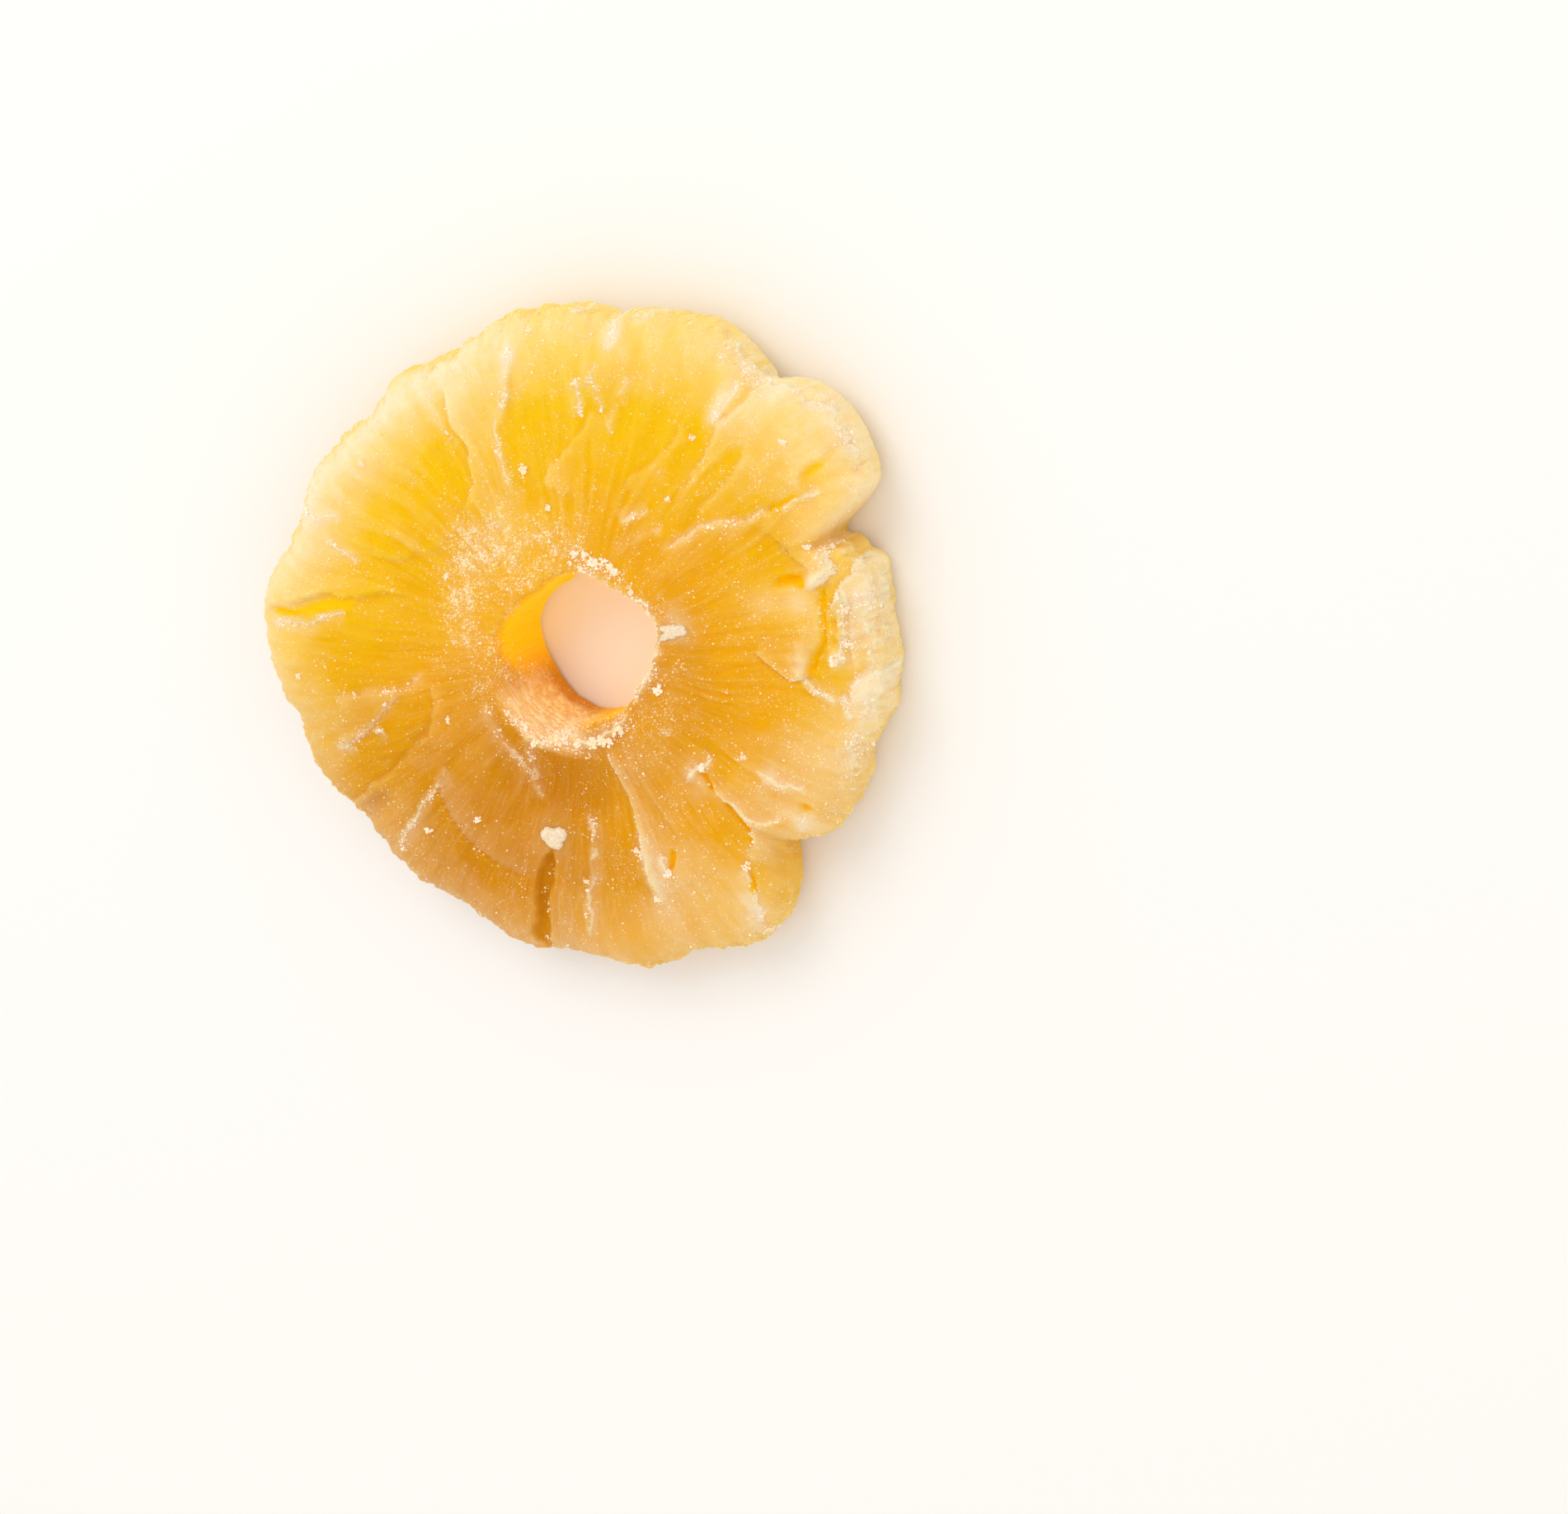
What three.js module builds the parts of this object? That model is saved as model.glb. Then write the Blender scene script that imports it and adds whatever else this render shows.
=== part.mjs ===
// A ring of candied pineapple: one thick slice across the fruit with its core punched out, dried in
// sugar until the flesh turned firm and clear. It lies flat, with its cut face up.
// Millimetres, +Z up. Angles are degrees anticlockwise from +X, seen from above.
// The ring is one closed grid: rays run round the hole, and each ray carries the same closed section, a
// box with rounded corners. Functions of the place on the slice give the section its width, its foot and
// its top.
import * as THREE from "three";

// ---- Driving sizes -----------------------------------------------------------------------------------

const HOLE_RADIUS = 10.0; // the punched core
const MEAN_REACH = 42.0; // from the middle of the hole to the peeled edge
const CORE_THICKNESS = 13.0; // of the slice beside the hole
const RIM_THICKNESS = 10.6; // of the slice just inside its rounded edge
const LEFT_CURL = 3.2; // how far the left side dried up off the flat
const TOP_CURL = 1.2; // the same at the far side
const FUNNEL_DEPTH = 4.2; // of the worn lip at the lower left of the hole

const RAYS = 120;
const SECTION_STEPS = { side: 8, top: 21, wall: 5, underside: 8 };

// ---- Small maths -------------------------------------------------------------------------------------

const radians = (degrees) => (degrees * Math.PI) / 180;
const bell = (v) => Math.exp(-v * v);
const wave = (turns, angle, phase) => Math.sin(radians(turns * angle + phase));

function smoothStep(from, to, value) {
  const t = Math.min(Math.max((value - from) / (to - from), 0), 1);
  return t * t * (3 - 2 * t);
}

// The turn from one angle to another, between -180 and 180 degrees.
function turn(from, to) {
  return ((((to - from + 180) % 360) + 360) % 360) - 180;
}

// ---- Outline -----------------------------------------------------------------------------------------

// The peel came off in scallops, one for each eye of the fruit: the angle of each one's tip, half its
// spread in degrees, and the tip's distance from the middle of the hole.
const SCALLOPS = [
  [-5, 16, 38.6],
  [13, 12, 38.8],
  [40, 12, 45.4],
  [65, 17, 43.8],
  [95, 19, 42.0],
  [125, 15, 41.0],
  [152, 18, 42.3],
  [178, 15, 45.8],
  [201, 15, 43.8],
  [225, 14, 42.4],
  [250, 15, 41.6],
  [275, 15, 41.4],
  [297, 13, 41.6],
  [331, 14, 38.0],
];
const SCALLOP_SAG = 2.6; // how far a scallop falls back at half its spread
const SCALLOP_BLEND = 0.4; // how softly two of them meet

// Gaps that were torn into the edge: angle, half width in degrees, depth.
const NOTCHES = [
  [24.5, 3.0, 6.0],
  [52, 2.2, 0.7],
  [-45, 5.0, 2.2],
  [165, 3.0, 0.8],
  [213, 3.0, 0.4],
];

// Small unevenness of the cut: waves a turn, height, phase.
const RAGGED = [
  [17, 0.16, 40],
  [29, 0.12, 10],
];

function reach(angle) {
  const tips = SCALLOPS.map(([at, half, tip]) => tip - SCALLOP_SAG * (turn(at, angle) / half) ** 2);
  const farthest = Math.max(...tips);
  const blended = tips.reduce((sum, tip) => sum + Math.exp((tip - farthest) / SCALLOP_BLEND), 0);
  let radius = farthest + SCALLOP_BLEND * Math.log(blended);
  for (const [at, half, depth] of NOTCHES) radius -= depth * bell(turn(at, angle) / half);
  for (const [turns, height, phase] of RAGGED) radius += height * wave(turns, angle, phase);
  return radius;
}

// The hole shrank unevenly as the slice dried: angle, half width in degrees, change of radius.
const HOLE_SWELLS = [
  [22, 22, 1.5],
  [128, 20, -0.9],
  [176, 20, 0.7],
  [292, 24, -1.4],
  [328, 22, -1.1],
];

function holeRadius(angle) {
  const swell = HOLE_SWELLS.reduce((sum, [at, half, size]) => sum + size * bell(turn(at, angle) / half), 0);
  return HOLE_RADIUS + swell + 0.12 * wave(5, angle, 20);
}

// ---- Folds, cracks and ridges of the cut face --------------------------------------------------------

// Each one follows a path of [radius, angle] points from the core outwards. lip is how far one side
// stands above the other, and its sign says which: + for the anticlockwise side, - for the clockwise
// one. The raised side settles back over run. cut is the depth of the groove at the foot of the lip, or
// of a crack, and width is half its width. A cut below zero is a ridge.
const FOLDS = [
  // The smooth lobe at the upper left, which the flesh beside it laps over.
  {
    path: [
      [22, 130], [23.9, 122.8], [26.7, 118.9], [28.5, 118.1], [31.2, 118.7], [33.2, 117.7], [37.1, 117],
    ],
    lip: -1, run: 3.5, cut: 0.4,
  },
  {
    path: [[27.5, 157], [24.7, 153], [22.2, 146], [21.3, 137], [21.8, 128]],
    lip: 0.5, run: 3, cut: 0.2,
  },
  { path: [[28.5, 119], [31.5, 119.8], [34.4, 120], [37.5, 118.5]], cut: -0.3, width: 0.7 },
  {
    path: [[23.9, 150.5], [24.9, 150.4], [27, 149.3], [28.9, 149.2]],
    lip: -0.5, run: 2, cut: 0.2, width: 0.6,
  },
  // The far side: a raised seam, laps of stringy flesh and the pale scar of an eye.
  {
    path: [
      [21, 111], [24.7, 108.4], [27.3, 108.8], [29.3, 107.8], [31.7, 104.6], [34.7, 102.1], [39, 99.5],
    ],
    lip: 0.3, run: 2, cut: -0.7,
  },
  {
    path: [[20.9, 99.2], [22.3, 97], [23.9, 93], [26.2, 87.7], [28.4, 84.3], [31, 83]],
    lip: -0.6, run: 3, cut: 0.2,
  },
  { path: [[28.8, 84.3], [31.7, 85.1], [33.9, 86.1]], cut: -0.4, width: 0.6 },
  {
    path: [[21.1, 70.3], [23.3, 69.3], [26.5, 64.1], [30, 61.4], [33.2, 61]],
    lip: -0.5, run: 3, cut: 0.2,
  },
  { path: [[37.6, 80.5], [39.4, 79.1], [42.5, 81]], cut: -0.5, width: 0.7 },
  // The upper right lobe: its lap, the smear along it, and the long crack that splits it.
  {
    path: [[24.5, 54.5], [29.8, 53.2], [34.5, 53.8], [40.6, 52.5], [43.4, 52.7], [47, 50]],
    lip: -0.7, run: 4, cut: 0.2,
  },
  { path: [[34.3, 53.8], [36, 54.6], [37.7, 54.8], [41, 55]], cut: -0.5, width: 0.9 },
  {
    path: [[17.5, 50], [21.4, 45], [24.8, 42.8], [26.9, 40.3], [28.9, 36.7], [31.4, 35.2], [34, 34]],
    lip: -0.7, run: 3, cut: 0.2, width: 0.6,
  },
  { path: [[31.8, 34.4], [32.9, 34.4], [34.4, 34.3], [36.9, 34]], cut: 0.8, width: 0.5 },
  { path: [[17.8, 66.4], [19.4, 62.8], [21.4, 59.4]], cut: -0.4, width: 0.5 },
  // The right side: the broken edge of the lobe, a small flap under it, and the pad's slit and rib.
  {
    path: [[31.5, 16.4], [33.1, 15.8], [35.1, 16.4], [36.5, 19.9], [37.8, 24.2], [39, 25.1], [45.5, 28.5]],
    lip: 1.5, run: 5, cut: 0.4,
  },
  {
    path: [[33.7, 9.5], [35.5, 14], [37.4, 17.5], [37.9, 20.5], [43, 22.5]],
    lip: -0.8, run: 5, cut: 0.3, width: 0.6,
  },
  {
    path: [[31, -3.4], [31.9, 1.5], [33.2, 8.3], [34.1, 14.4], [34.8, 16.2]],
    lip: 0.6, run: 2, cut: 0.9, width: 0.6,
  },
  { path: [[36.4, 16], [35.8, 11], [35.5, 6.5], [34.3, 1.2], [34.2, -1.5]], cut: -0.7, width: 0.7 },
  {
    path: [[23.6, 3], [24.3, 1.5], [25.9, -1.7], [27.9, -3.5], [29.4, -4.4], [30.8, -3.3], [31.6, -1.6]],
    lip: 0.8, run: 2.5, cut: 0.7, width: 0.5,
  },
  { path: [[29.6, -2.8], [31, -4.2], [32.1, -6.1], [34.8, -8.2]], cut: -0.5, width: 0.6 },
  {
    path: [[36, -8], [36, -6.3], [36.3, -3.1], [38.6, -1.8], [43, -5]],
    lip: -1.2, run: 6, cut: 0.3, width: 0.7,
  },
  // The lower right lobe, with a crack that opens in places and forks at its foot.
  { path: [[20.8, -39.8], [21.6, -40.8], [23.2, -42.7], [24, -43.1]], cut: 0.9, width: 0.5 },
  {
    path: [
      [23.2, -42.2], [25.1, -42.2], [27.1, -41.7], [29.5, -42.2], [30.9, -41.1], [31.9, -38.4], [33, -35.1],
    ],
    cut: -0.5, width: 0.6,
  },
  {
    path: [[25.4, -42.7], [26.5, -42.8], [28, -43.4], [29.7, -43.9], [30.8, -44]],
    cut: 1.1, width: 0.5,
  },
  {
    path: [[23, -42], [26.6, -43], [30, -44], [31.4, -45.4], [32.6, -50.5]],
    lip: 0.6, run: 3, cut: 0.2,
  },
  {
    path: [[32.2, -50], [34.8, -52.1], [36.7, -53.5], [38.1, -54.8], [40.4, -57.3], [43, -59]],
    lip: -0.7, run: 3, cut: 0.4, width: 0.6,
  },
  { path: [[33.6, -32.6], [34.3, -36], [35, -38.2]], cut: -0.3, width: 0.7 },
  // The near side: the edge of a raised sector, an open slit and a thin seam.
  {
    path: [[11.8, -79], [14, -73.5], [16.4, -71.2], [20.7, -72.1], [24, -73.7], [27.3, -74.9], [33.4, -73]],
    lip: 1.4, run: 4.5, cut: 0.3,
  },
  { path: [[27, -74.7], [30.8, -73.8], [33, -73]], cut: -0.5, width: 0.8 },
  {
    path: [[25, -102.4], [28, -102.9], [31, -103.3], [36, -103.3], [46, -103.2]],
    cut: 3.2, width: 0.7,
  },
  {
    path: [[19.5, -91], [22.5, -88.1], [24.8, -88.6], [27.7, -90], [33.3, -92.2], [38, -92.5]],
    cut: -0.5, width: 0.5,
  },
  // The lower left: lobes that slipped over one another, with a narrow gap between two of them.
  {
    path: [[21, 186], [22.8, 189.2], [25.3, 192.1], [31.6, 191], [35.2, 190.7]],
    lip: 0.4, run: 2.5, cut: 0.1,
  },
  {
    path: [[24.4, 193], [27.5, 196], [30.7, 198.8], [35, 201.4], [37.5, 202]],
    lip: -0.6, run: 2.5, cut: 0.3,
  },
  {
    path: [[20.5, 190], [22, 199.3], [24.4, 206.3], [26.4, 207.4], [31.5, 209.6], [39.9, 211.4], [44, 213]],
    lip: 0.7, run: 5, cut: 0.4, width: 0.9,
  },
  {
    path: [[25, 216.5], [27.4, 220.3], [31.4, 220.8], [37, 223.2], [39.5, 224.3]],
    cut: -0.6, width: 0.6,
  },
  {
    path: [[23, 163], [28.7, 166.8], [34.1, 169.1], [36.1, 169.8], [38.7, 171.6], [41.3, 173.7], [46, 176]],
    lip: -1.1, run: 4, cut: 0.3,
  },
  {
    path: [[30.5, 168.9], [32.5, 170], [36.5, 172.5], [40.5, 174.4], [42.5, 175]],
    cut: 0.7, width: 0.8,
  },
  // Round the core: strands of stringy flesh beside the ramp, and its crust of sugar.
  {
    path: [[14, 203.4], [14.5, 213.5], [16.1, 238.1], [17.6, 246.3], [19.6, 254]],
    lip: -0.5, run: 2.5, cut: -0.2,
  },
  {
    path: [
      [12.1, 227], [13, 235], [12.3, 246.7], [10.7, 260], [11, 278.5], [10.6, 289], [10, 299], [9.6, 318],
    ],
    cut: -0.8, width: 0.9,
  },
];
const LIP_STEEPNESS = 1.0; // how far a lip takes to rise
const FOLD_ENDS = 0.15; // the share of its length over which a fold grows in at each end
const POINTS_PER_STRETCH = 5;

// Swells and hollows: [radius, angle] of the middle, [along, across] the radius half sizes, height.
const MOUNDS = [
  { at: [31, 143], size: [8, 10], height: 1.1 }, // the plump lobes of flesh
  { at: [34, 184], size: [9, 7.5], height: 1.1 },
  { at: [36, 92], size: [6, 9], height: 0.7 },
  { at: [38, 43], size: [6, 6], height: 0.9 },
  { at: [28, -22], size: [7, 8], height: 0.9 },
  { at: [30, -60], size: [7.5, 6.5], height: 0.5 },
  { at: [27.5, 70], size: [7, 6], height: -0.9 }, // the sunk bed between two lobes
  { at: [40.2, 35.9], size: [2.4, 1.1], height: -1.0 }, // the crack's open end
  { at: [43.6, 55], size: [1.4, 0.9], height: -0.8 },
  { at: [30.5, 19.3], size: [2, 0.9], height: -1.5 }, // the pit under the broken edge
  { at: [28.3, 7.5], size: [4, 4.3], height: 0.7 }, // the pad and its dished middle
  { at: [27.7, 6.5], size: [2.4, 2], height: -0.5 },
  { at: [38.5, 5], size: [3.2, 8], height: -1.9 }, // the lower shelf outside the rib
  { at: [38.2, 21.6], size: [1, 1.2], height: 0.9 },
  { at: [34.1, -31.4], size: [0.9, 0.8], height: -1.0 },
  { at: [16.8, 268], size: [3.9, 6], height: -1.6 }, // the scoop below the hole
  { at: [22, 237], size: [5, 4.5], height: -0.9 },
  { at: [37.8, 214.2], size: [3.2, 1.5], height: -2.6 }, // the bite out of a lobe at the edge
  { at: [23.9, 257.8], size: [1.2, 1.7], height: 0.55 }, // two flakes of sugar
  { at: [13.6, 13.9], size: [1.6, 0.75], height: 0.55 },
];

const placeAt = ([radius, angle]) =>
  new THREE.Vector2(radius * Math.cos(radians(angle)), radius * Math.sin(radians(angle)));

// The folds' paths as smooth chains of points, with the length gone by at each point.
for (const fold of FOLDS) {
  const curve = new THREE.SplineCurve(fold.path.map(placeAt));
  fold.chain = curve.getPoints((fold.path.length - 1) * POINTS_PER_STRETCH);
  fold.gone = [0];
  fold.chain.slice(1).forEach((point, i) => fold.gone.push(fold.gone[i] + point.distanceTo(fold.chain[i])));
}

// The place nearest to x, y on a fold: how far off it is, on which side, and how far along.
function nearestOn(fold, x, y) {
  let best = { distance: Infinity };
  for (let i = 0; i + 1 < fold.chain.length; i++) {
    const [from, to] = [fold.chain[i], fold.chain[i + 1]];
    const [alongX, alongY] = [to.x - from.x, to.y - from.y];
    const length = Math.hypot(alongX, alongY);
    const [offX, offY] = [x - from.x, y - from.y];
    const t = Math.min(Math.max((offX * alongX + offY * alongY) / length ** 2, 0), 1);
    const distance = Math.hypot(offX - t * alongX, offY - t * alongY);
    if (distance < best.distance) {
      const side = alongX * offY - alongY * offX >= 0 ? 1 : -1;
      best = { distance, side, share: (fold.gone[i] + t * length) / fold.gone.at(-1) };
    }
  }
  return best;
}

function foldHeight(fold, x, y) {
  const { lip = 0, run = 1, cut = 0, width = 0.8 } = fold;
  const { distance, side, share } = nearestOn(fold, x, y);
  const across = distance * side * (lip < 0 ? -1 : 1);
  const ends = smoothStep(0, FOLD_ENDS, share) * smoothStep(1, 1 - FOLD_ENDS, share);
  const settled = Math.exp(-Math.max(across - LIP_STEEPNESS, 0) / run);
  const raised = Math.abs(lip) * smoothStep(0, LIP_STEEPNESS, across) * settled;
  return ends * (raised - cut * bell(across / width + 0.3));
}

function moundHeight({ at: [radius, angle], size: [along, across], height }, x, y) {
  const [c, s] = [Math.cos(radians(angle)), Math.sin(radians(angle))];
  const u = (x * c + y * s - radius) / along;
  const v = (y * c - x * s) / across;
  return height * Math.exp(-((u * u + v * v) ** 1.3));
}

// ---- Top and foot of the slice -----------------------------------------------------------------------

// The dried slice curls up off the flat at its left and at its far side.
function curl(x, y) {
  const left = smoothStep(18, 46, 0.28 * y - 0.96 * x);
  const far = smoothStep(24, 46, 0.3 * x + 0.95 * y);
  return LEFT_CURL * left + TOP_CURL * far;
}

function thickness(radius) {
  const share = Math.max((radius - HOLE_RADIUS) / (MEAN_REACH - HOLE_RADIUS), 0);
  return CORE_THICKNESS + (RIM_THICKNESS - CORE_THICKNESS) * Math.min(share, 1.2) ** 1.5;
}

// Strings of flesh that run out from the core.
function strings(radius, angle) {
  return 0.16 * wave(46, angle, 170 * wave(2, angle, 34)) * smoothStep(15, 22, radius);
}

// The lip of the hole is worn to a slope at its lower left.
function funnel(radius, angle) {
  return FUNNEL_DEPTH * bell((turn(228, angle) / 34) ** 2) * smoothStep(13.4, 9.6, radius);
}

function topHeight(radius, angle, x, y) {
  const folds = FOLDS.reduce((sum, fold) => sum + foldHeight(fold, x, y), 0);
  const mounds = MOUNDS.reduce((sum, mound) => sum + moundHeight(mound, x, y), 0);
  return thickness(radius) + curl(x, y) + folds + mounds + strings(radius, angle) - funnel(radius, angle);
}

// Underneath, furrows run out between the lobes: the angle and depth of each. The flesh between them
// lies flat.
const FURROWS = [
  [20, 1.3], [52, 1.0], [82, 0.7], [110, 0.9], [138, 0.8], [166, 1.2], [190, 0.8],
  [213, 1.4], [238, 0.9], [262, 1.1], [287, 0.8], [316, 1.3], [344, 0.8],
];
const FURROW_WIDTH = 1.7;

function footHeight(radius, angle, x, y) {
  let height = curl(x, y);
  for (const [at, depth] of FURROWS) {
    const gap = turn(at, angle);
    const across = Math.abs(gap) < 60 ? radius * Math.sin(radians(gap)) : Infinity;
    height += depth * smoothStep(FURROW_WIDTH, 0, Math.abs(across)) * smoothStep(15, 28, radius);
  }
  return height;
}

// ---- Section -----------------------------------------------------------------------------------------

// A box with rounded corners, as [share of the way out, share of the way up], from the foot of the outer
// side up it, in over the top, down the wall of the hole and out along the underside.
const BOX = { width: 31, height: 11.8 };

function section({ outerTop, outerFoot, holeTop, holeFoot }) {
  const { width, height } = BOX;
  const corners = [
    [width - outerFoot, outerFoot, outerFoot, -90],
    [width - outerTop, height - outerTop, outerTop, 0],
    [holeTop, height - holeTop, holeTop, 90],
    [holeFoot, holeFoot, holeFoot, 180],
  ];
  const outline = new THREE.Path();
  for (const [x, z, radius, start] of corners)
    outline.absarc(x, z, radius, radians(start), radians(start + 90), false);
  outline.closePath();
  const lengths = outline.getCurveLengths();
  const total = lengths.at(-1);
  // The path holds an arc for each corner with a straight line after it. A stretch ends halfway round a
  // corner, but the side starts and the underside ends at the foot of the outer side.
  const afterArc = (corner) => lengths[2 * corner];
  const beforeArc = (corner) => lengths[2 * corner - 1];
  const middle = (corner) => (beforeArc(corner) + afterArc(corner)) / 2;
  const marks = [0, middle(1), middle(2), middle(3), total];
  const steps = [SECTION_STEPS.side, SECTION_STEPS.top, SECTION_STEPS.wall, SECTION_STEPS.underside];
  const points = [];
  steps.forEach((count, stretch) => {
    for (let i = 0; i < count; i++) {
      const length = marks[stretch] + ((marks[stretch + 1] - marks[stretch]) * i) / count;
      const point = outline.getPoint(length / total);
      points.push([point.x / width, point.y / height]);
    }
  });
  return points;
}

const PLUMP = section({ outerTop: 5.2, outerFoot: 3.8, holeTop: 1.8, holeFoot: 1.2 });
const CUT = section({ outerTop: 2.6, outerFoot: 1.6, holeTop: 1.8, holeFoot: 1.2 });

// 1 on the right, where the knife left a plain upright side, and 0 where the side is plump.
const cutShare = (angle) => smoothStep(-24, -12, turn(0, angle)) * smoothStep(31, 22, turn(0, angle));

// ---- The ring ----------------------------------------------------------------------------------------

function ringGeometry() {
  const positions = [];
  for (let ray = 0; ray < RAYS; ray++) {
    const angle = (360 * ray) / RAYS;
    const [inner, outer, cut] = [holeRadius(angle), reach(angle), cutShare(angle)];
    PLUMP.forEach(([out, up], step) => {
      const radius = inner + (outer - inner) * THREE.MathUtils.lerp(out, CUT[step][0], cut);
      const x = radius * Math.cos(radians(angle));
      const y = radius * Math.sin(radians(angle));
      const foot = footHeight(radius, angle, x, y);
      const top = topHeight(radius, angle, x, y);
      positions.push(x, y, THREE.MathUtils.lerp(foot, top, THREE.MathUtils.lerp(up, CUT[step][1], cut)));
    });
  }
  const steps = PLUMP.length;
  const faces = [];
  for (let ray = 0; ray < RAYS; ray++) {
    for (let step = 0; step < steps; step++) {
      const [here, next] = [ray * steps, ((ray + 1) % RAYS) * steps];
      const above = (step + 1) % steps;
      faces.push(here + step, next + step, next + above);
      faces.push(here + step, next + above, here + above);
    }
  }
  const geometry = new THREE.BufferGeometry();
  geometry.setAttribute("position", new THREE.Float32BufferAttribute(positions, 3));
  geometry.setIndex(faces);
  return geometry;
}

// The origin is on the ground, under the middle of the ring's box.
function standOnGround(geometry) {
  geometry.computeBoundingBox();
  const { min, max } = geometry.boundingBox;
  return geometry.translate(-(min.x + max.x) / 2, -(min.y + max.y) / 2, -min.z);
}

const candiedFlesh = new THREE.MeshStandardMaterial({ color: 0xf6b92c, roughness: 0.45, metalness: 0 });

const pineappleRing = new THREE.Mesh(standOnGround(ringGeometry()), candiedFlesh);
pineappleRing.name = "pineapple_ring";

const model = new THREE.Group();
model.add(pineappleRing);

export default model;
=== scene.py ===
# %% [markdown]
# # A ring of candied pineapple
# A thick slice of pineapple had its core punched out and was dried in sugar syrup, so its flesh is firm, clear and
# yellow, and fine sugar lies on it like frost. This lesson dresses a plain solid of that ring. The shape is worked
# out again with many more points and finer relief, then come the flesh's colours, the sugar crystals, the crusts
# and flakes of sugar, and last the table, the light and the camera.
#
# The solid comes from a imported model, the frame. It says how large the ring is and where it lies, and every piece
# made here stays inside its box.

# %% Load the frame
import math

import bpy
import numpy as np
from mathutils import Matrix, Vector
from mathutils.kdtree import KDTree


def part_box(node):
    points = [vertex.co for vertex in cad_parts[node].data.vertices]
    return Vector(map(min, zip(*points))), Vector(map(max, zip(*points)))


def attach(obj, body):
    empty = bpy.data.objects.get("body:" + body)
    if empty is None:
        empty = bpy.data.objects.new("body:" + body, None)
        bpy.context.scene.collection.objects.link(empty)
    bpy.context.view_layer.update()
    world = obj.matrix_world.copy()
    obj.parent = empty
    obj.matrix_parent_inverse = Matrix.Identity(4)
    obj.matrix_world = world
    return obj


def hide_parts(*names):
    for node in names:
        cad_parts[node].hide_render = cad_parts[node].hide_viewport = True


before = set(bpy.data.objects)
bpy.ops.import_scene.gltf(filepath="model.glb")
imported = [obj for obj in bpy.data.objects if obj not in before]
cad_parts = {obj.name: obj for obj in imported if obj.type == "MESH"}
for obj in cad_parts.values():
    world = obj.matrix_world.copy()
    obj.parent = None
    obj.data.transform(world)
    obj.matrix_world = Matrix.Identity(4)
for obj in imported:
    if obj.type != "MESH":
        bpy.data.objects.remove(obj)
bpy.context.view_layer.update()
ring_low, ring_high = (np.array(corner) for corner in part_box("pineapple_ring"))
MM = 0.001
print("the solid ring measures", np.round((ring_high - ring_low) / MM, 1), "mm")

# %% [markdown]
# ## Small maths
# Shapes in this lesson are heights over a plane, in millimetres, and angles in degrees anticlockwise from +X. They
# could be sculpted by hand, but functions of the place can be read, changed and run again. They work on whole
# numpy arrays at once, so a hundred thousand points take a second or two.

# %% Bells, steps and turns
def bell(v):
    return np.exp(-v * v)


def step(start, end, v):
    """0 before start, 1 past end, smooth between."""
    t = np.clip((v - start) / (end - start), 0, 1)
    return t * t * (3 - 2 * t)


def wave(turns, angle, phase):
    return np.sin(np.radians(turns * angle + phase))


def turn(start, end):
    """The turn from one angle to another, between -180 and 180 degrees."""
    return (end - start + 180) % 360 - 180


def bells(angle, table):
    """Bells round the ring, added up. Each has its angle, its half width in degrees and its height."""
    return sum(height * bell(turn(at, angle) / half) for at, half, height in table)


def plateau(at, half, angle):
    """A flat-topped bell of height 1 round the angle at."""
    return bell((turn(at, angle) / half) ** 2)


def place(radius, angle):
    """x and y of a point given by its distance from the hole's middle and its angle."""
    return radius * np.cos(np.radians(angle)), radius * np.sin(np.radians(angle))


print("half a width off its middle a bell is", round(bell(0.5), 2), "and a plateau", round(plateau(0, 2, 1), 2))

# %% [markdown]
# ## Noise
# Fruit is never smooth, so most shapes get a little unevenness. This noise draws one random height for each knot
# of a lattice and blends smoothly between the knots. The draws are seeded, so each run gives the same ring. With
# `around` the lattice closes on itself, which noise that runs round the hole needs, or its ends would not meet.

# %% Noise on a lattice
LATTICE = 512


def noise(u, v, seed, around=LATTICE):
    """Smooth random heights from -1 to 1 with a knot at each whole u and v."""
    knots = np.random.default_rng(seed).uniform(-1, 1, (LATTICE, LATTICE))
    left, low = np.floor(u).astype(int), np.floor(v).astype(int)
    right_share, high_share = u - left, v - low
    right_share = right_share**2 * (3 - 2 * right_share)
    high_share = high_share**2 * (3 - 2 * high_share)

    def row(j):
        start, end = knots[left % around, j % LATTICE], knots[(left + 1) % around, j % LATTICE]
        return start + (end - start) * right_share

    return row(low) + (row(low + 1) - row(low)) * high_share


def noise_round(knots, angle, across, seed):
    """Noise that closes on itself round the hole, with so many knots to the turn."""
    return noise(angle * knots / 360, across, seed, around=knots)


def uneven(x, y, size, seed):
    """Noise with lumps of about this size in millimetres."""
    return noise(x / size, y / size, seed)


print("noise at a few places:", np.round(uneven(np.array([0.5, 1.5, 2.5]), np.zeros(3), 1, seed=1), 2))

# %% [markdown]
# ## The outline
# Each eye of the pineapple left a scallop when the peel came off, and a few gaps are torn into the edge. The
# outline is the farthest of a row of parabolas, one for each scallop, blended where two of them meet. That gives
# the pinched valleys between full lobes, which a sum of waves would round off. These numbers are the solid's own.

# %% Scallops, notches and the hole
HOLE_RADIUS = 10.0
MEAN_REACH = 42.0

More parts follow.
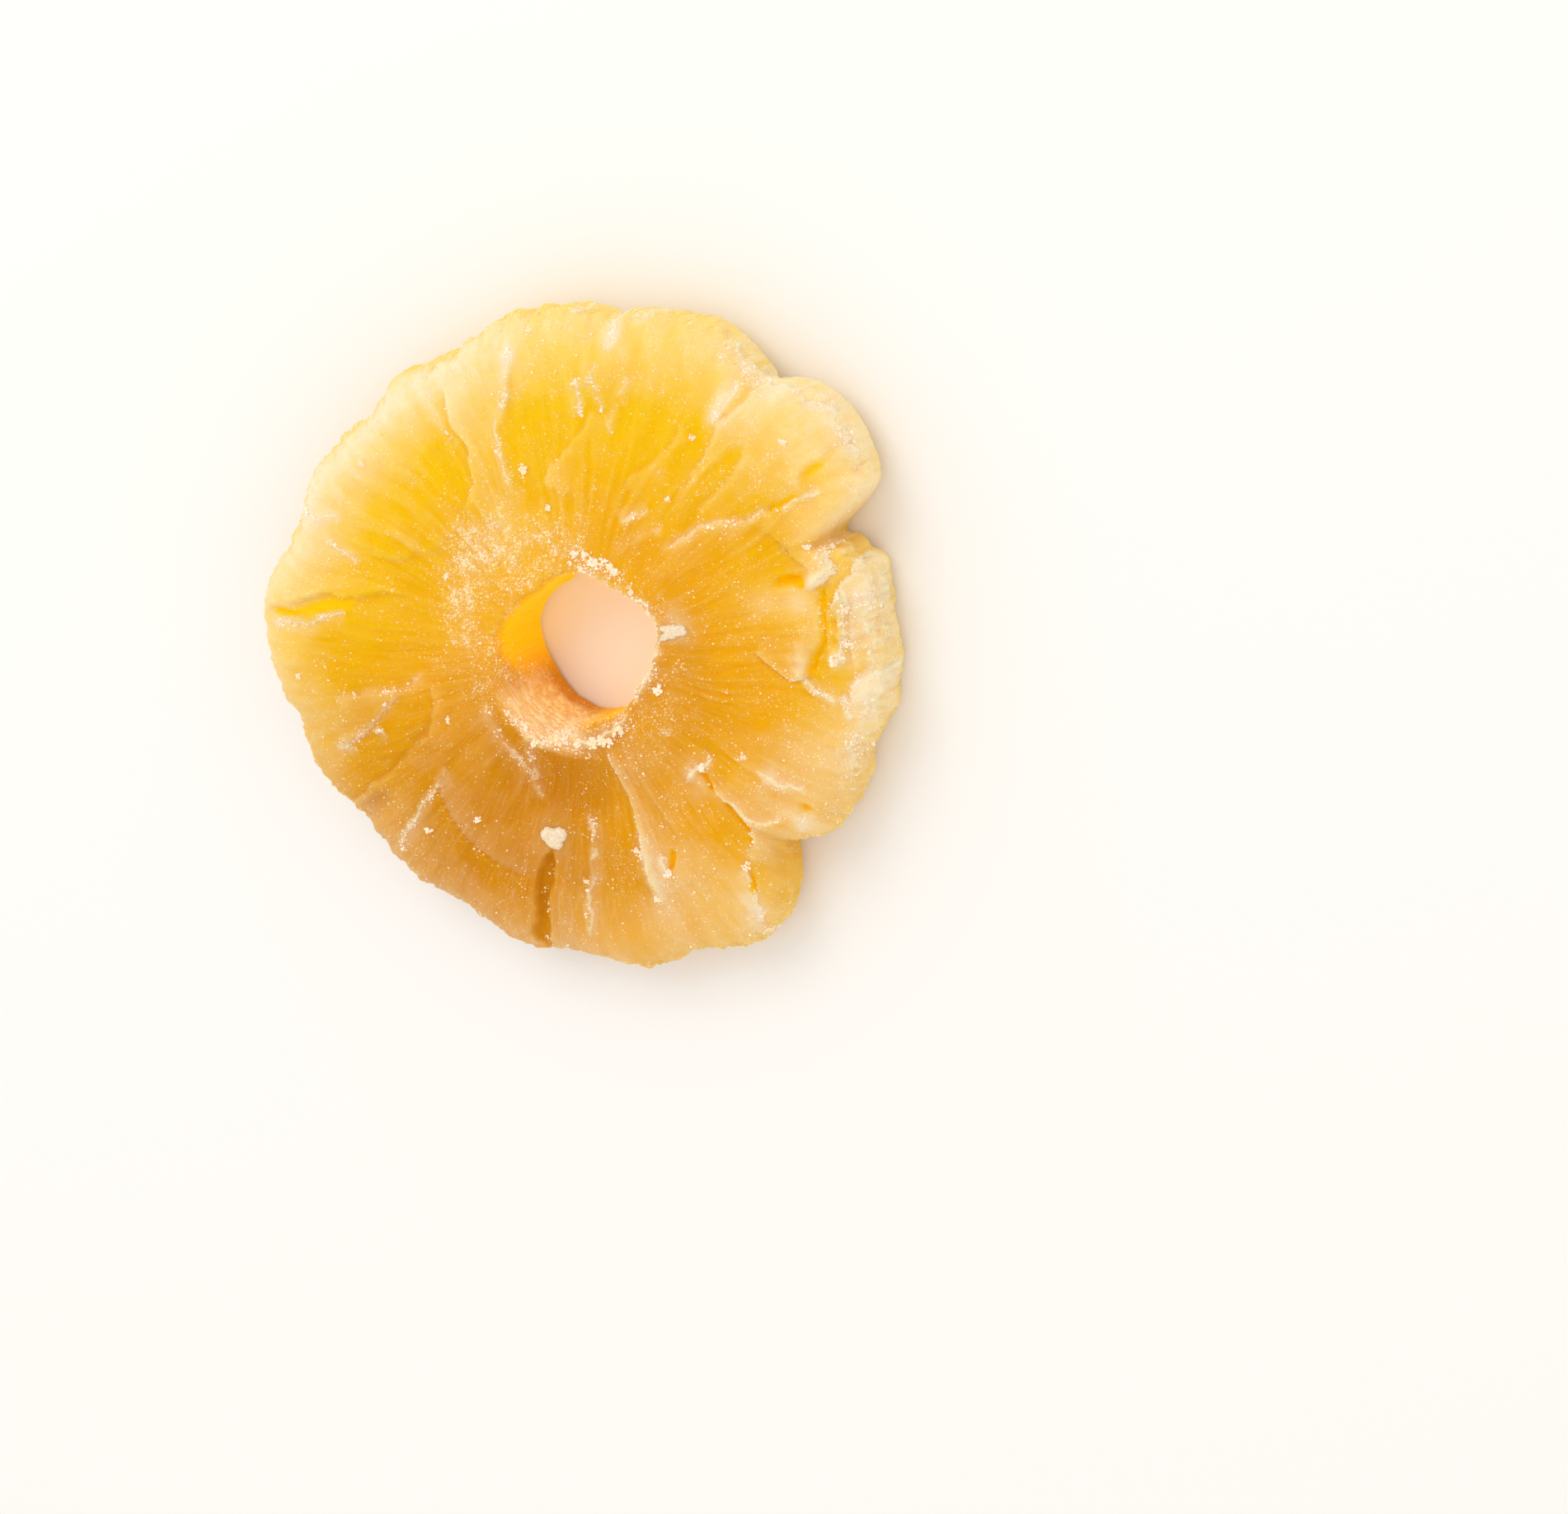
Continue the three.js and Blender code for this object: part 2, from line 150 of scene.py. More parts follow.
# Angle of the tip, half the spread in degrees, and the tip's distance from the middle of the hole.
SCALLOPS = [
    (-5, 16, 38.6), (13, 12, 38.8), (40, 12, 45.4), (65, 17, 43.8), (95, 19, 42.0), (125, 15, 41.0),
    (152, 18, 42.3), (178, 15, 45.8), (201, 15, 43.8), (225, 14, 42.4), (250, 15, 41.6), (275, 15, 41.4),
    (297, 13, 41.6), (331, 14, 38.0),
]
SCALLOP_SAG = 2.6
SCALLOP_BLEND = 0.4
# Angle, half width in degrees and depth or height of each.
NOTCHES = [(24.5, 3.0, 6.0), (52, 2.2, 0.7), (-45, 5.0, 2.2), (165, 3.0, 0.8), (213, 3.0, 0.4)]
HOLE_SWELLS = [(22, 22, 1.5), (128, 20, -0.9), (176, 20, 0.7), (292, 24, -1.4), (328, 22, -1.1)]
# Waves to a turn, height and phase.
EDGE_WAVES = [(17, 0.16, 40), (29, 0.12, 10)]
HOLE_WAVES = [(5, 0.12, 20)]


def waves(angle, table):
    return sum(height * wave(turns, angle, phase) for turns, height, phase in table)


def whole_reach(angle):
    """How far out the edge would lie without its gaps."""
    tips = np.array([tip - SCALLOP_SAG * (turn(at, angle) / half) ** 2 for at, half, tip in SCALLOPS])
    farthest = tips.max(axis=0)
    return farthest + SCALLOP_BLEND * np.log(np.exp((tips - farthest) / SCALLOP_BLEND).sum(axis=0))


def reach(angle):
    return whole_reach(angle) - bells(angle, NOTCHES) + waves(angle, EDGE_WAVES)


def hole_radius(angle):
    return HOLE_RADIUS + bells(angle, HOLE_SWELLS) + waves(angle, HOLE_WAVES)


print("the edge lies", np.round(reach(np.arange(0.0, 360.0, 45.0)), 1), "mm out")

# %% [markdown]
# ## Folds, cracks and ridges
# As the slice dried, its lobes slipped over one another and split. Each such line follows a path from the core
# outwards, written as distance and angle by turns. A `fold` has a lip: one side stands above the other, and the
# lip's sign says which, + for the one anticlockwise of the path. The raised side settles back over `run`, and
# `cut` is the depth of the groove at the lip's foot. A `ridge` is a groove turned up, and a `slit` one with
# upright sides. Each line also leaves marks for the colours: a `pale` crest, where the flesh is dry and crumbly,
# a `deep` foot, where it is wet and clear, and a `tone`, by which the raised side is paler than the bed beside it.

# %% Kinds of line
TONE_OF_LIP = 0.22


def fold(lip, run, path, cut=0.0, width=0.4, pale=0.0, deep=0.0, tone=None, slot=False):
    if tone is None:
        tone = TONE_OF_LIP * min(abs(lip), 1.0)
    path = np.reshape(path, (-1, 2))
    return dict(path=path, lip=lip, run=run, cut=cut, width=width, pale=pale, deep=deep, tone=tone, slot=slot)


def ridge(height, width, pale, path, tone=0.0):
    return fold(0, 1, path, cut=-height, width=width, pale=pale, tone=tone)


def slit(depth, width, deep, path, pale=0.0):
    return fold(0, 1, path, cut=depth, width=width, pale=pale, deep=deep, slot=True)


def dry_edge(first, last, pale):
    """A pale crest with no height, just inside the edge, from one angle to another."""
    angles = np.arange(first, last, 4.0)
    return ridge(0, 0.4, pale, np.stack([reach(angles) - 0.35, angles], axis=1))


print("a step of 0.5 mm makes its raised side paler by", fold(0.5, 1, [])["tone"])

# %% The lines of the cut face
# A fold starts with its lip and run, a ridge with its height, half width and paleness, and a slit with its depth,
# half width and wetness.
LINES = [
    # Upper left
    fold(-0.8, 3.5, [22, 130, 23.9, 122.8, 26.7, 118.9, 28.5, 118.1, 31.2, 118.7, 33.2, 117.7, 37.1, 117], cut=0.1,
        pale=0.15, deep=0.4, tone=0.16),
    fold(0.3, 3, [27.5, 157, 24.7, 153, 22.2, 146, 21.3, 137, 21.8, 128], tone=0.08),
    ridge(0.15, 0.4, 0.35, [28.5, 119, 31.5, 119.8, 34.4, 120, 37.5, 118.5]),
    fold(-0.35, 2, [23.9, 150.5, 24.9, 150.4, 27, 149.3, 28.9, 149.2], deep=0.3, tone=0.14),
    fold(-0.3, 2, [23.9, 152, 26.9, 156, 29.5, 157], tone=0.1),
    ridge(0.2, 0.35, 0.6, [30.5, 160, 33, 158, 36, 157.5]),
    ridge(0.3, 0.5, 0.8, [34.5, 151.5, 36.9, 152.5, 38.8, 154.8, 41, 156]),
    # Far side
    fold(0.3, 2, [21, 111, 24.7, 108.4, 27.3, 108.8, 29.3, 107.8, 31.7, 104.6, 34.7, 102.1, 37.4, 99.5, 39, 99.5],
        cut=-0.45, width=0.4, pale=0.75),
    fold(-0.45, 3, [20.9, 99.2, 22.3, 97, 23.9, 93, 26.2, 87.7, 28.4, 84.3, 31, 83], deep=0.2, tone=0.16),
    ridge(0.25, 0.35, 0.8, [28.8, 84.3, 31.7, 85.1, 33.9, 86.1]),
    ridge(0.2, 0.3, 0.5, [30.1, 79.7, 32.5, 81.2, 34.1, 82.4, 36.4, 81.8]),
    ridge(0.15, 0.3, 0.35, [27.5, 76.7, 29.9, 77.1, 32.5, 76.8]),
    ridge(0.15, 0.3, 0.35, [31.8, 74.6, 33.1, 76.1, 35.4, 74.5]),
    ridge(0.4, 0.6, 1.0, [37.6, 80.5, 38.1, 80.1, 39.4, 79.1, 40.8, 80, 42.5, 81]),
    ridge(0.2, 0.4, 0.8, [40.9, 77.7, 42.6, 75.2, 43.7, 72.6, 44.5, 70]),
    ridge(0.25, 0.5, 0.8, [41, 90, 42.3, 86.2, 42.9, 84, 43.4, 79, 44.2, 75.6, 44.5, 72.9]),
    fold(-0.4, 3, [21.1, 70.3, 23.3, 69.3, 26.5, 64.1, 30, 61.4, 33.2, 61], deep=0.15, tone=0.2),
    # Upper right
    fold(-0.4, 3, [24.6, 47, 28.5, 46.4, 32.5, 45.6, 36, 47], tone=0.14),
    fold(-0.55, 4, [24.5, 54.5, 29.8, 53.2, 34.5, 53.8, 40.6, 52.5, 43.4, 52.7, 47, 50], pale=0.15, tone=0.16),
    ridge(0.45, 0.8, 1.0, [34.3, 53.8, 36, 54.6, 37.7, 54.8, 39.7, 54.9, 41, 55]),
    ridge(0.3, 0.5, 0.9, [39.5, 51.8, 42.1, 53.1, 44.3, 52, 46, 49.4, 47.7, 46.1, 48.6, 44]),
    fold(-0.5, 3, [17.5, 50, 21.4, 45, 24.8, 42.8, 26.9, 40.3, 28.9, 36.7, 31.4, 35.2, 34, 34], pale=0.5, deep=0.1,
        tone=0.1),
    slit(0.5, 0.26, 0.3, [31.8, 34.4, 32.9, 34.4, 34.4, 34.3, 35.6, 34.2, 36.9, 34]),
    ridge(0.25, 0.3, 0.7, [33, 33.5, 35, 33.2, 37, 33, 38.2, 32.8, 39.8, 32]),
    fold(0.4, 2, [37.4, 34.4, 38.9, 35.9, 40.3, 36.1, 42.1, 35.5], deep=0.4, tone=0.1),
    ridge(0.3, 0.3, 0.7, [17.8, 66.4, 19.4, 62.8, 21.4, 59.4]),
    ridge(0.15, 0.3, 0.3, [14.3, 63.6, 17.1, 58.1, 20.9, 50.4]),
    # Right, with the gap
    fold(1.3, 5, [31.5, 16.4, 33.1, 15.8, 35.1, 16.4, 36.4, 18.1, 36.5, 19.9, 36.5, 22.2, 37.8, 24.2, 39, 25.1,
        41.4, 26.2, 45.5, 28.5], cut=0.2, width=0.35, pale=1.0, deep=0.7),
    fold(-0.7, 5, [33.7, 9.5, 35.5, 14, 37.4, 17.5, 37.9, 20.5, 40.8, 21.9, 43, 22.5], cut=0.2, width=0.3,
        pale=0.6, deep=0.7),
    fold(0.5, 2, [31, -3.4, 31.9, 1.5, 33, 5.9, 33.2, 8.3, 33.4, 10.7, 34.1, 14.4, 34.8, 16.2], cut=0.55,
        width=0.38, pale=0.2, deep=0.8, slot=True),
    fold(0.45, 8, [37.4, 15.8, 36.9, 13.3, 36.4, 9.5, 35.8, 4.6, 35.5, 0.1, 35.9, -2.4], pale=0.7, tone=0.05),
    ridge(0.55, 0.6, 1.0, [36.4, 16, 35.9, 14.6, 35.8, 11, 35.5, 6.5, 34.9, 4.7, 34.3, 1.2, 34.2, -1.5]),
    slit(0.6, 0.6, 0, [28.4, 20.4, 29.8, 19.6, 31, 18.6, 32.5, 17.3]),
    fold(0.7, 2.5, [23.6, 3, 24.3, 1.5, 25.9, -1.7, 27.9, -3.5, 29.4, -4.4, 30.8, -3.3, 31.6, -1.6], cut=0.35,
        width=0.3, pale=0.4, deep=1.0),
    ridge(0.4, 0.45, 0.9, [29.6, -2.8, 31, -4.2, 32.1, -6.1, 33.7, -7.2, 34.8, -8.2]),
    ridge(0.4, 0.3, 1.0, [34.6, -5.8, 35, -6.6, 36, -9.5, 36.5, -10.8]),
    fold(-1.0, 6, [36, -8, 36, -6.3, 36.3, -3.1, 38.6, -1.8, 40.1, -3.9, 43, -5], cut=0.1, pale=0.9),
    # Lower right
    ridge(0.35, 0.35, 0.9, [20.8, -47.8, 20.5, -41, 21.2, -39, 21.7, -33.2]),
    slit(0.7, 0.32, 0.2, [20.8, -39.8, 21.6, -40.8, 22.4, -41.8, 23.2, -42.7, 24, -43.1]),
    ridge(0.4, 0.5, 0.7, [23.2, -42.2, 25.1, -42.2, 27.1, -41.7, 29.5, -42.2, 30.9, -41.1, 31.9, -38.4,
        33, -35.1]),
    slit(0.8, 0.4, 0.2, [25.4, -42.7, 26.5, -42.8, 28, -43.4, 29.7, -43.9, 30.8, -44]),
    fold(0.5, 3, [23, -42, 26.6, -43, 30, -44, 31.4, -45.4, 32.1, -48, 32.6, -50.5], pale=0.3, tone=0.1),
    slit(0.4, 0.3, 0.4, [30.2, -46.6, 30.8, -46.5, 31.5, -46, 32, -45.8]),
    fold(-0.6, 3, [32.2, -50, 33.4, -51.6, 34.8, -52.1, 36.7, -53.5, 38.1, -54.8, 40.4, -57.3, 43, -59], cut=0.1,
        width=0.35, pale=0.8, deep=0.3),
    slit(0.5, 0.32, 0.4, [34.2, -51.3, 35, -52, 35.6, -52.8, 36.4, -53.6]),
    ridge(0.25, 0.4, 0.8, [27.3, -30.3, 30.6, -29.3, 32.8, -28.6, 33.5, -26.9]),
    ridge(0.2, 0.5, 0.6, [33.6, -32.6, 34.1, -33.6, 34.3, -36, 35, -38.2]),
    slit(0.6, 0.3, 0.3, [26.6, -63.4, 27.2, -64.2, 28, -65.4, 28.9, -66.6]),
    ridge(0.35, 0.4, 0.9, [26.4, -66.6, 27.6, -67.9, 29.6, -67.8]),
    # Near side
    fold(1.3, 4.5, [11.8, -79, 14, -73.5, 16.4, -71.2, 20.7, -72.1, 24, -73.7, 27.3, -74.9, 30, -74, 33.4, -73],
        cut=0.05, pale=0.9, deep=0.15, tone=0.26),
    ridge(0.5, 0.7, 1.0, [27, -74.7, 29, -74.4, 30.8, -73.8, 33, -73]),
    slit(1.1, 0.95, 0.3, [25, -102.4, 28, -102.9, 31, -103.3, 36, -103.3, 46, -103.2], pale=0.4),
    ridge(0.35, 0.26, 0.6, [19.5, -91, 20.9, -90, 22.5, -88.1, 24.8, -88.6, 27.7, -90, 33.3, -92.2, 38, -92.5],
        tone=0.05),
    # Lower left
    fold(0.3, 2.5, [21, 186, 22.8, 189.2, 25.3, 192.1, 28.8, 191.5, 31.6, 191, 35.2, 190.7], pale=0.3, tone=0.12),
    fold(-0.5, 2.5, [24.4, 193, 25.6, 194.1, 27.5, 196, 30.7, 198.8, 35, 201.4, 37.5, 202], pale=0.35, tone=0.12),
    ridge(0.3, 0.4, 0.9, [30, 201, 31, 200.8, 31.7, 200.8]),
    ridge(0.3, 0.4, 0.9, [35.2, 201.8, 36.7, 201.8, 38, 201.3]),
    fold(0.6, 5, [20.5, 190, 22, 199.3, 23.1, 202.6, 24.4, 206.3, 26.4, 207.4, 31.5, 209.6, 35.2, 210.8,
        39.9, 211.4, 44, 213], cut=0.15, deep=0.15, tone=0.16),
    ridge(0.4, 0.35, 0.7, [25, 216.5, 27.4, 220.3, 29.5, 220.3, 31.4, 220.8, 33.7, 221.9, 37, 223.2, 39.5, 224.3],
        tone=0.06),
    fold(-0.4, 3, [25.2, 217, 28, 222, 29.5, 228, 30.5, 236, 30.8, 247, 29, 254], tone=-0.2),
    fold(-0.9, 4, [23, 163, 28.7, 166.8, 31.6, 168.9, 34.1, 169.1, 36.1, 169.8, 38.7, 171.6, 41.3, 173.7, 46, 176],
        deep=0.2, tone=0.04),
    slit(0.3, 0.5, 0.1, [30.5, 168.9, 32.5, 170, 34.5, 171.2, 36.5, 172.5, 38.5, 173.4, 40.5, 174.4, 42.5, 175]),
    ridge(0.25, 0.35, 0.8, [31.3, 170.2, 32.9, 172, 34.9, 173.7, 36.9, 175.6, 40.1, 176, 43, 176.6]),
    # Round the hole
    fold(-0.4, 2.5, [14, 203.4, 14.5, 213.5, 15.3, 226, 16.1, 238.1, 17.6, 246.3, 19.6, 254], cut=-0.2, width=0.4,
        pale=0.45, tone=0.1),
    ridge(0.3, 0.35, 0.5, [12.6, 216, 12.6, 227.9, 13.7, 237.1, 16.1, 242.6, 18.8, 249.6, 20.4, 255]),
    ridge(0.6, 0.6, 1.0, [12.1, 227, 13, 235, 12.3, 246.7, 11, 254, 10.7, 260, 10.8, 267.4, 11, 278.5, 10.6, 289,
        10, 299, 9.7, 307, 9.6, 318]),
    ridge(0.3, 0.4, 0.8, [(hole_radius(angle) + 0.7, angle) for angle in range(-45, 100, 10)]),
    # The broken edge
    dry_edge(-26, 21, 0.5), dry_edge(31, 66, 0.8),
]
print(len(LINES), "folds, cracks and ridges")

# %% [markdown]
# Each path becomes a smooth curve through its points, cut into short straight stretches.

# %% Smooth paths
POINTS_PER_STRETCH = 5


def smooth_chain(path):
    """Points along a smooth curve through the path's points (a Catmull-Rom spline)."""
    knots = np.array([place(radius, angle) for radius, angle in path])
    knots = np.vstack([2 * knots[0] - knots[1], knots, 2 * knots[-1] - knots[-2]])
    t = (np.arange(POINTS_PER_STRETCH) / POINTS_PER_STRETCH)[:, None]
    stretches = []
    for before, start, end, after in zip(knots, knots[1:], knots[2:], knots[3:]):
        bend = (2 * before - 5 * start + 4 * end - after) * t**2 + (3 * start - before - 3 * end + after) * t**3
        stretches.append(start + 0.5 * ((end - before) * t + bend))
    return np.vstack([*stretches, knots[-2:-1]])


for line in LINES:
    line["chain"] = smooth_chain(line["path"])
print(sum(len(line["chain"]) for line in LINES), "points on them")

# %% [markdown]
# The nearest place on a line says how far off a point is, on which side, and how far along. A line fades in and
# out over a share of its length, because real folds end by running out. The solid's lips rise over a millimetre,
# but this finer mesh can hold a steeper step.

# %% Height and marks of one line
LIP_STEEPNESS = 0.6
LINE_ENDS = 0.15
GROOVE_OFF_FOOT = 0.3
TONE_STARTS = 0.3
RAISED_TONE_RUN, BED_TONE_RUN = 3.0, 4.5


def nearest_on(chain, x, y):
    """Distance to the chain, + on its left; and the share of its length at the nearest place."""
    gone = np.concatenate([[0], np.cumsum(np.hypot(*np.diff(chain, axis=0).T))])
    best = np.full(x.shape, np.inf)
    side, share = np.ones_like(x), np.zeros_like(x)
    for i, ((x0, y0), (x1, y1)) in enumerate(zip(chain, chain[1:])):
        along_x, along_y = x1 - x0, y1 - y0
        length = gone[i + 1] - gone[i]
        t = np.clip(((x - x0) * along_x + (y - y0) * along_y) / length**2, 0, 1)
        distance = np.hypot(x - x0 - t * along_x, y - y0 - t * along_y)
        nearer = distance < best
        left = along_x * (y - y0) - along_y * (x - x0) >= 0
        best = np.where(nearer, distance, best)
        side = np.where(nearer, np.where(left, 1.0, -1.0), side)
        share = np.where(nearer, (gone[i] + t * length) / gone[-1], share)
    return best * side, share


def slot_share(line, across, present):
    """1 in a slot and 0 outside it. It narrows to a point where the line fades."""
    return np.exp(-((across / (line["width"] * np.clip(present, 0.2, 1))) ** 4))


def line_fields(line, x, y):
    """At the points x, y: distance from the line, + on its raised side; its fading; its height; its tone."""
    across, share = nearest_on(line["chain"], x, y)
    if line["lip"] < 0:
        across = -across
    present = step(0, LINE_ENDS, share) * step(1, 1 - LINE_ENDS, share)
    raised = np.exp(-np.maximum(across - LIP_STEEPNESS, 0) / line["run"]) * step(0, LIP_STEEPNESS, across)
    groove = slot_share(line, across, present) if line["slot"] else bell(across / line["width"] + GROOVE_OFF_FOOT)
    height = present * (abs(line["lip"]) * raised - line["cut"] * groove)
    beyond = np.maximum(np.abs(across) - TONE_STARTS, 0)
    tone = np.where(across > 0, np.exp(-beyond / RAISED_TONE_RUN), -np.exp(-beyond / BED_TONE_RUN))
    return across, present, height, line["tone"] * present * tone


# %% [markdown]
# ## Swells and hollows
# Lobes swell, beds between them sink, and there are lumps, pits and shallow hollows. Each is one flat-topped bell,
# a row of five numbers: the distance and angle of its middle, its half sizes along and across the radius, and its
# height, or its depth if it goes down.

# %% Mounds, lumps and pits
MOUNDS = [
    (31, 143, 8, 10, 1.1), (34, 184, 9, 7.5, 1.1), (36, 92, 6, 9, 0.7), (38, 43, 6, 6, 0.9), (28, -22, 7, 8, 0.9),
    (30, -60, 7.5, 6.5, 0.5), (27.5, 70, 7, 6, -0.6), (38.5, 5, 3.2, 8, -1.9), (28.3, 7.5, 4, 4.3, 0.7),
    (16.8, 268, 3.9, 6, -1.6), (22, 237, 5, 4.5, -0.9),
]
LUMPS = [
    (38.1, 22.4, 1.2, 1.1, 0.7), (34.4, 17.6, 1.9, 0.7, 0.5), (34.2, 1.0, 1.0, 1.2, 0.6), (29.8, 0, 1.0, 2.6, 0.4),
    (41.2, 20.6, 1.4, 1.6, 0.6), (41.9, 15, 1.0, 3, 0.3), (38.2, -5.2, 1.6, 2.0, 0.5),
]
PITS = [
    (40.2, 35.9, 1.7, 0.55, 0.5), (43.6, 55, 1.1, 0.6, 0.3), (30.5, 19.3, 1.6, 0.6, 0.8),
    (34.4, 8.1, 0.4, 0.9, 0.4), (34.3, 4.1, 0.4, 0.7, 0.4), (34.2, -31.5, 0.7, 0.4, 0.6),
]
HOLLOWS = [(27.7, 6.5, 2.4, 2.0, 0.35), (37.8, 214.2, 3.2, 1.5, 1.8)]


def spot(x, y, radius, angle, half_out, half_over, height, sharpness=1.3):
    """A flat-topped bell at a place on the ring."""
    angle = math.radians(angle)
    out = x * math.cos(angle) + y * math.sin(angle) - radius
    over = y * math.cos(angle) - x * math.sin(angle)
    return height * np.exp(-(((out / half_out) ** 2 + (over / half_over) ** 2) ** sharpness))


def spots(x, y, table, sharpness=1.3):
    return sum(spot(x, y, *row, sharpness) for row in table)


def pool(x, y):
    """1 in the pits, where the flesh is wet and clear, and 0 outside them."""
    return np.clip(1.4 * spots(x, y, PITS), 0, 1)


def mound_height(x, y):
    return spots(x, y, MOUNDS + LUMPS) - spots(x, y, PITS + HOLLOWS)


print(len(MOUNDS + LUMPS), "swells and lumps,", len(PITS + HOLLOWS), "pits and hollows")

# %% [markdown]
# ## Top and foot of the slice
# The slice is thickest beside the hole, and it curled up at its left and far side as it dried. On top of these
# large forms comes what only this mesh is fine enough for: strings of flesh that run out from the core, lumps, and
# a grain like wet sand round the hole. Before a line is looked up, its place is shaken a little, so that no crack
# or lip runs clean.

# %% Large forms
CORE_THICKNESS = 13.0
RIM_THICKNESS = 10.6
# Height of each curl, the way it faces, and how far that way it starts and ends.
CURLS = [(3.2, (-0.96, 0.28), 18, 46), (1.2, (0.3, 0.95), 24, 46)]
RAMP_ANGLE, RAMP_SPREAD = 228, 34
RAMP_HEAD, RAMP_FOOT, RAMP_DEPTH = 13.4, 9.6, 4.2


def curl(x, y):
    return sum(rise * step(start, end, way[0] * x + way[1] * y) for rise, way, start, end in CURLS)


def thickness(radius):
    share = np.clip((radius - HOLE_RADIUS) / (MEAN_REACH - HOLE_RADIUS), 0, 1.2)
    return CORE_THICKNESS + (RIM_THICKNESS - CORE_THICKNESS) * share**1.5


def ramp_share(radius, angle):
    """1 on the worn slope at the lower left of the hole."""
    return plateau(RAMP_ANGLE, RAMP_SPREAD, angle) * step(RAMP_HEAD, RAMP_FOOT, radius)


print("the left side curls up by", round(float(curl(-40, 10)), 1), "mm")

# %% Fine relief
STIFF_RADIUS = 13.4
STIFF_SWELLS = [(136, 45, 8.0), (268, 40, -2.0)]
FAR_FROM_LINES = 9.0


def strings(radius, angle):
    """Strings of flesh that wander out from the core. They are narrow ridges, from about -1 up to 1."""
    wandering = angle + 4 * wave(2, angle, 34) + 2.5 * noise_round(30, angle, radius / 9, 11)
    coarse = 1 - 2.4 * np.abs(noise_round(110, wandering, radius / 10, 12))
    fine = 1 - 2.4 * np.abs(noise_round(330, wandering, radius / 6, 13))
    return 0.6 * coarse + 0.4 * fine


def shaken(x, y):
    """The place moved a little, so that what follows it gets ragged."""
    off_x, off_y = (0.4 * uneven(x, y, 2.6, seed) + 0.22 * uneven(x, y, 0.95, seed + 1) for seed in (21, 23))
    return x + off_x, y + off_y


def core_grain(radius, angle):
    """1 on the stiff, frosted middle, which is widest at the left, and 0 outside it."""
    edge = STIFF_RADIUS + bells(angle, STIFF_SWELLS)
    return step(edge + 2.5, edge - 3.5, radius + 1.6 * noise_round(40, angle, radius / 3, 31))


def top_fields(radius, angle):
    """Height of the cut face; distance from its nearest line and that line's two marks; tone; wetness."""
    x, y = place(radius, angle)
    shaken_x, shaken_y = shaken(x, y)
    height = thickness(radius) + curl(x, y) + mound_height(x, y) - RAMP_DEPTH * ramp_share(radius, angle)
    gap, tone, crest, deep = np.full_like(x, FAR_FROM_LINES), np.zeros_like(x), np.zeros_like(x), np.zeros_like(x)
    wet = pool(x, y)
    for line in LINES:
        across, present, rise, paler = line_fields(line, shaken_x, shaken_y)
        if line["slot"]:
            wet = np.maximum(wet, step(0, 0.3, present) * slot_share(line, 0.9 * across, present))
        nearest = np.abs(across) + 2 * (1 - present) < np.abs(gap)
        gap = np.where(nearest, across, gap)
        crest = np.where(nearest, present * line["pale"], crest)
        deep = np.where(nearest, present * line["deep"], deep)
        height, tone = height + rise, tone + paler
    sandy = core_grain(radius, angle)
    crumbly = crest * bell((gap - 0.3) / 0.5)
    height = height + 0.15 * strings(radius, angle) * step(12, 20, radius)
    height = height + 0.2 * uneven(x, y, 5, 41) + 0.1 * uneven(x, y, 1.9, 42)
    height = height + (0.03 + 0.1 * sandy + 0.12 * crumbly) * uneven(x, y, 0.5, 43)
    return height, gap, crest, deep, tone, wet


print("the middle is stiff out to", np.round(STIFF_RADIUS + bells(136, STIFF_SWELLS), 1), "mm at the left")

# %% [markdown]
# The underside was on the tray, so it is flat, with furrows that run out between the lobes. Nothing there may
# reach below the flat, because the ring stands on it.

# %% The underside
FURROWS = [
    (20, 1.3), (52, 1.0), (82, 0.7), (110, 0.9), (138, 0.8), (166, 1.2), (190, 0.8), (213, 1.4), (238, 0.9),
    (262, 1.1), (287, 0.8), (316, 1.3), (344, 0.8),
]
FURROW_WIDTH = 1.7
FURROW_START, FURROW_FULL = 15, 28


def foot_height(radius, angle):
    x, y = place(radius, angle)
    height = curl(x, y)
    along = step(FURROW_START, FURROW_FULL, radius)
    for at, depth in FURROWS:
        gap = turn(at, angle)
        across = np.where(np.abs(gap) < 60, radius * np.sin(np.radians(gap)), np.inf)
        height = height + depth * step(FURROW_WIDTH, 0, np.abs(across)) * along
    pitted = 0.25 * uneven(x, y, 3, 51) + 0.2 * strings(radius, angle) * step(13, 20, radius)
    return height + np.maximum(pitted, 0)


print(len(FURROWS), "furrows")

# %% [markdown]
# ## The section
# Each ray from the hole carries the same closed section: a box with rounded corners, as shares of the way out and
# of the way up. On the right the knife left a plain upright side, so there the corners are tight. Elsewhere they
# are as round as the lobes of the fruit.

# %% A rounded box, walked round at even steps
BOX_WIDTH, BOX_HEIGHT = 31.0, 11.8
STEPS = {"side": 18, "top": 92, "wall": 12, "underside": 14}
ARC_POINTS = 17


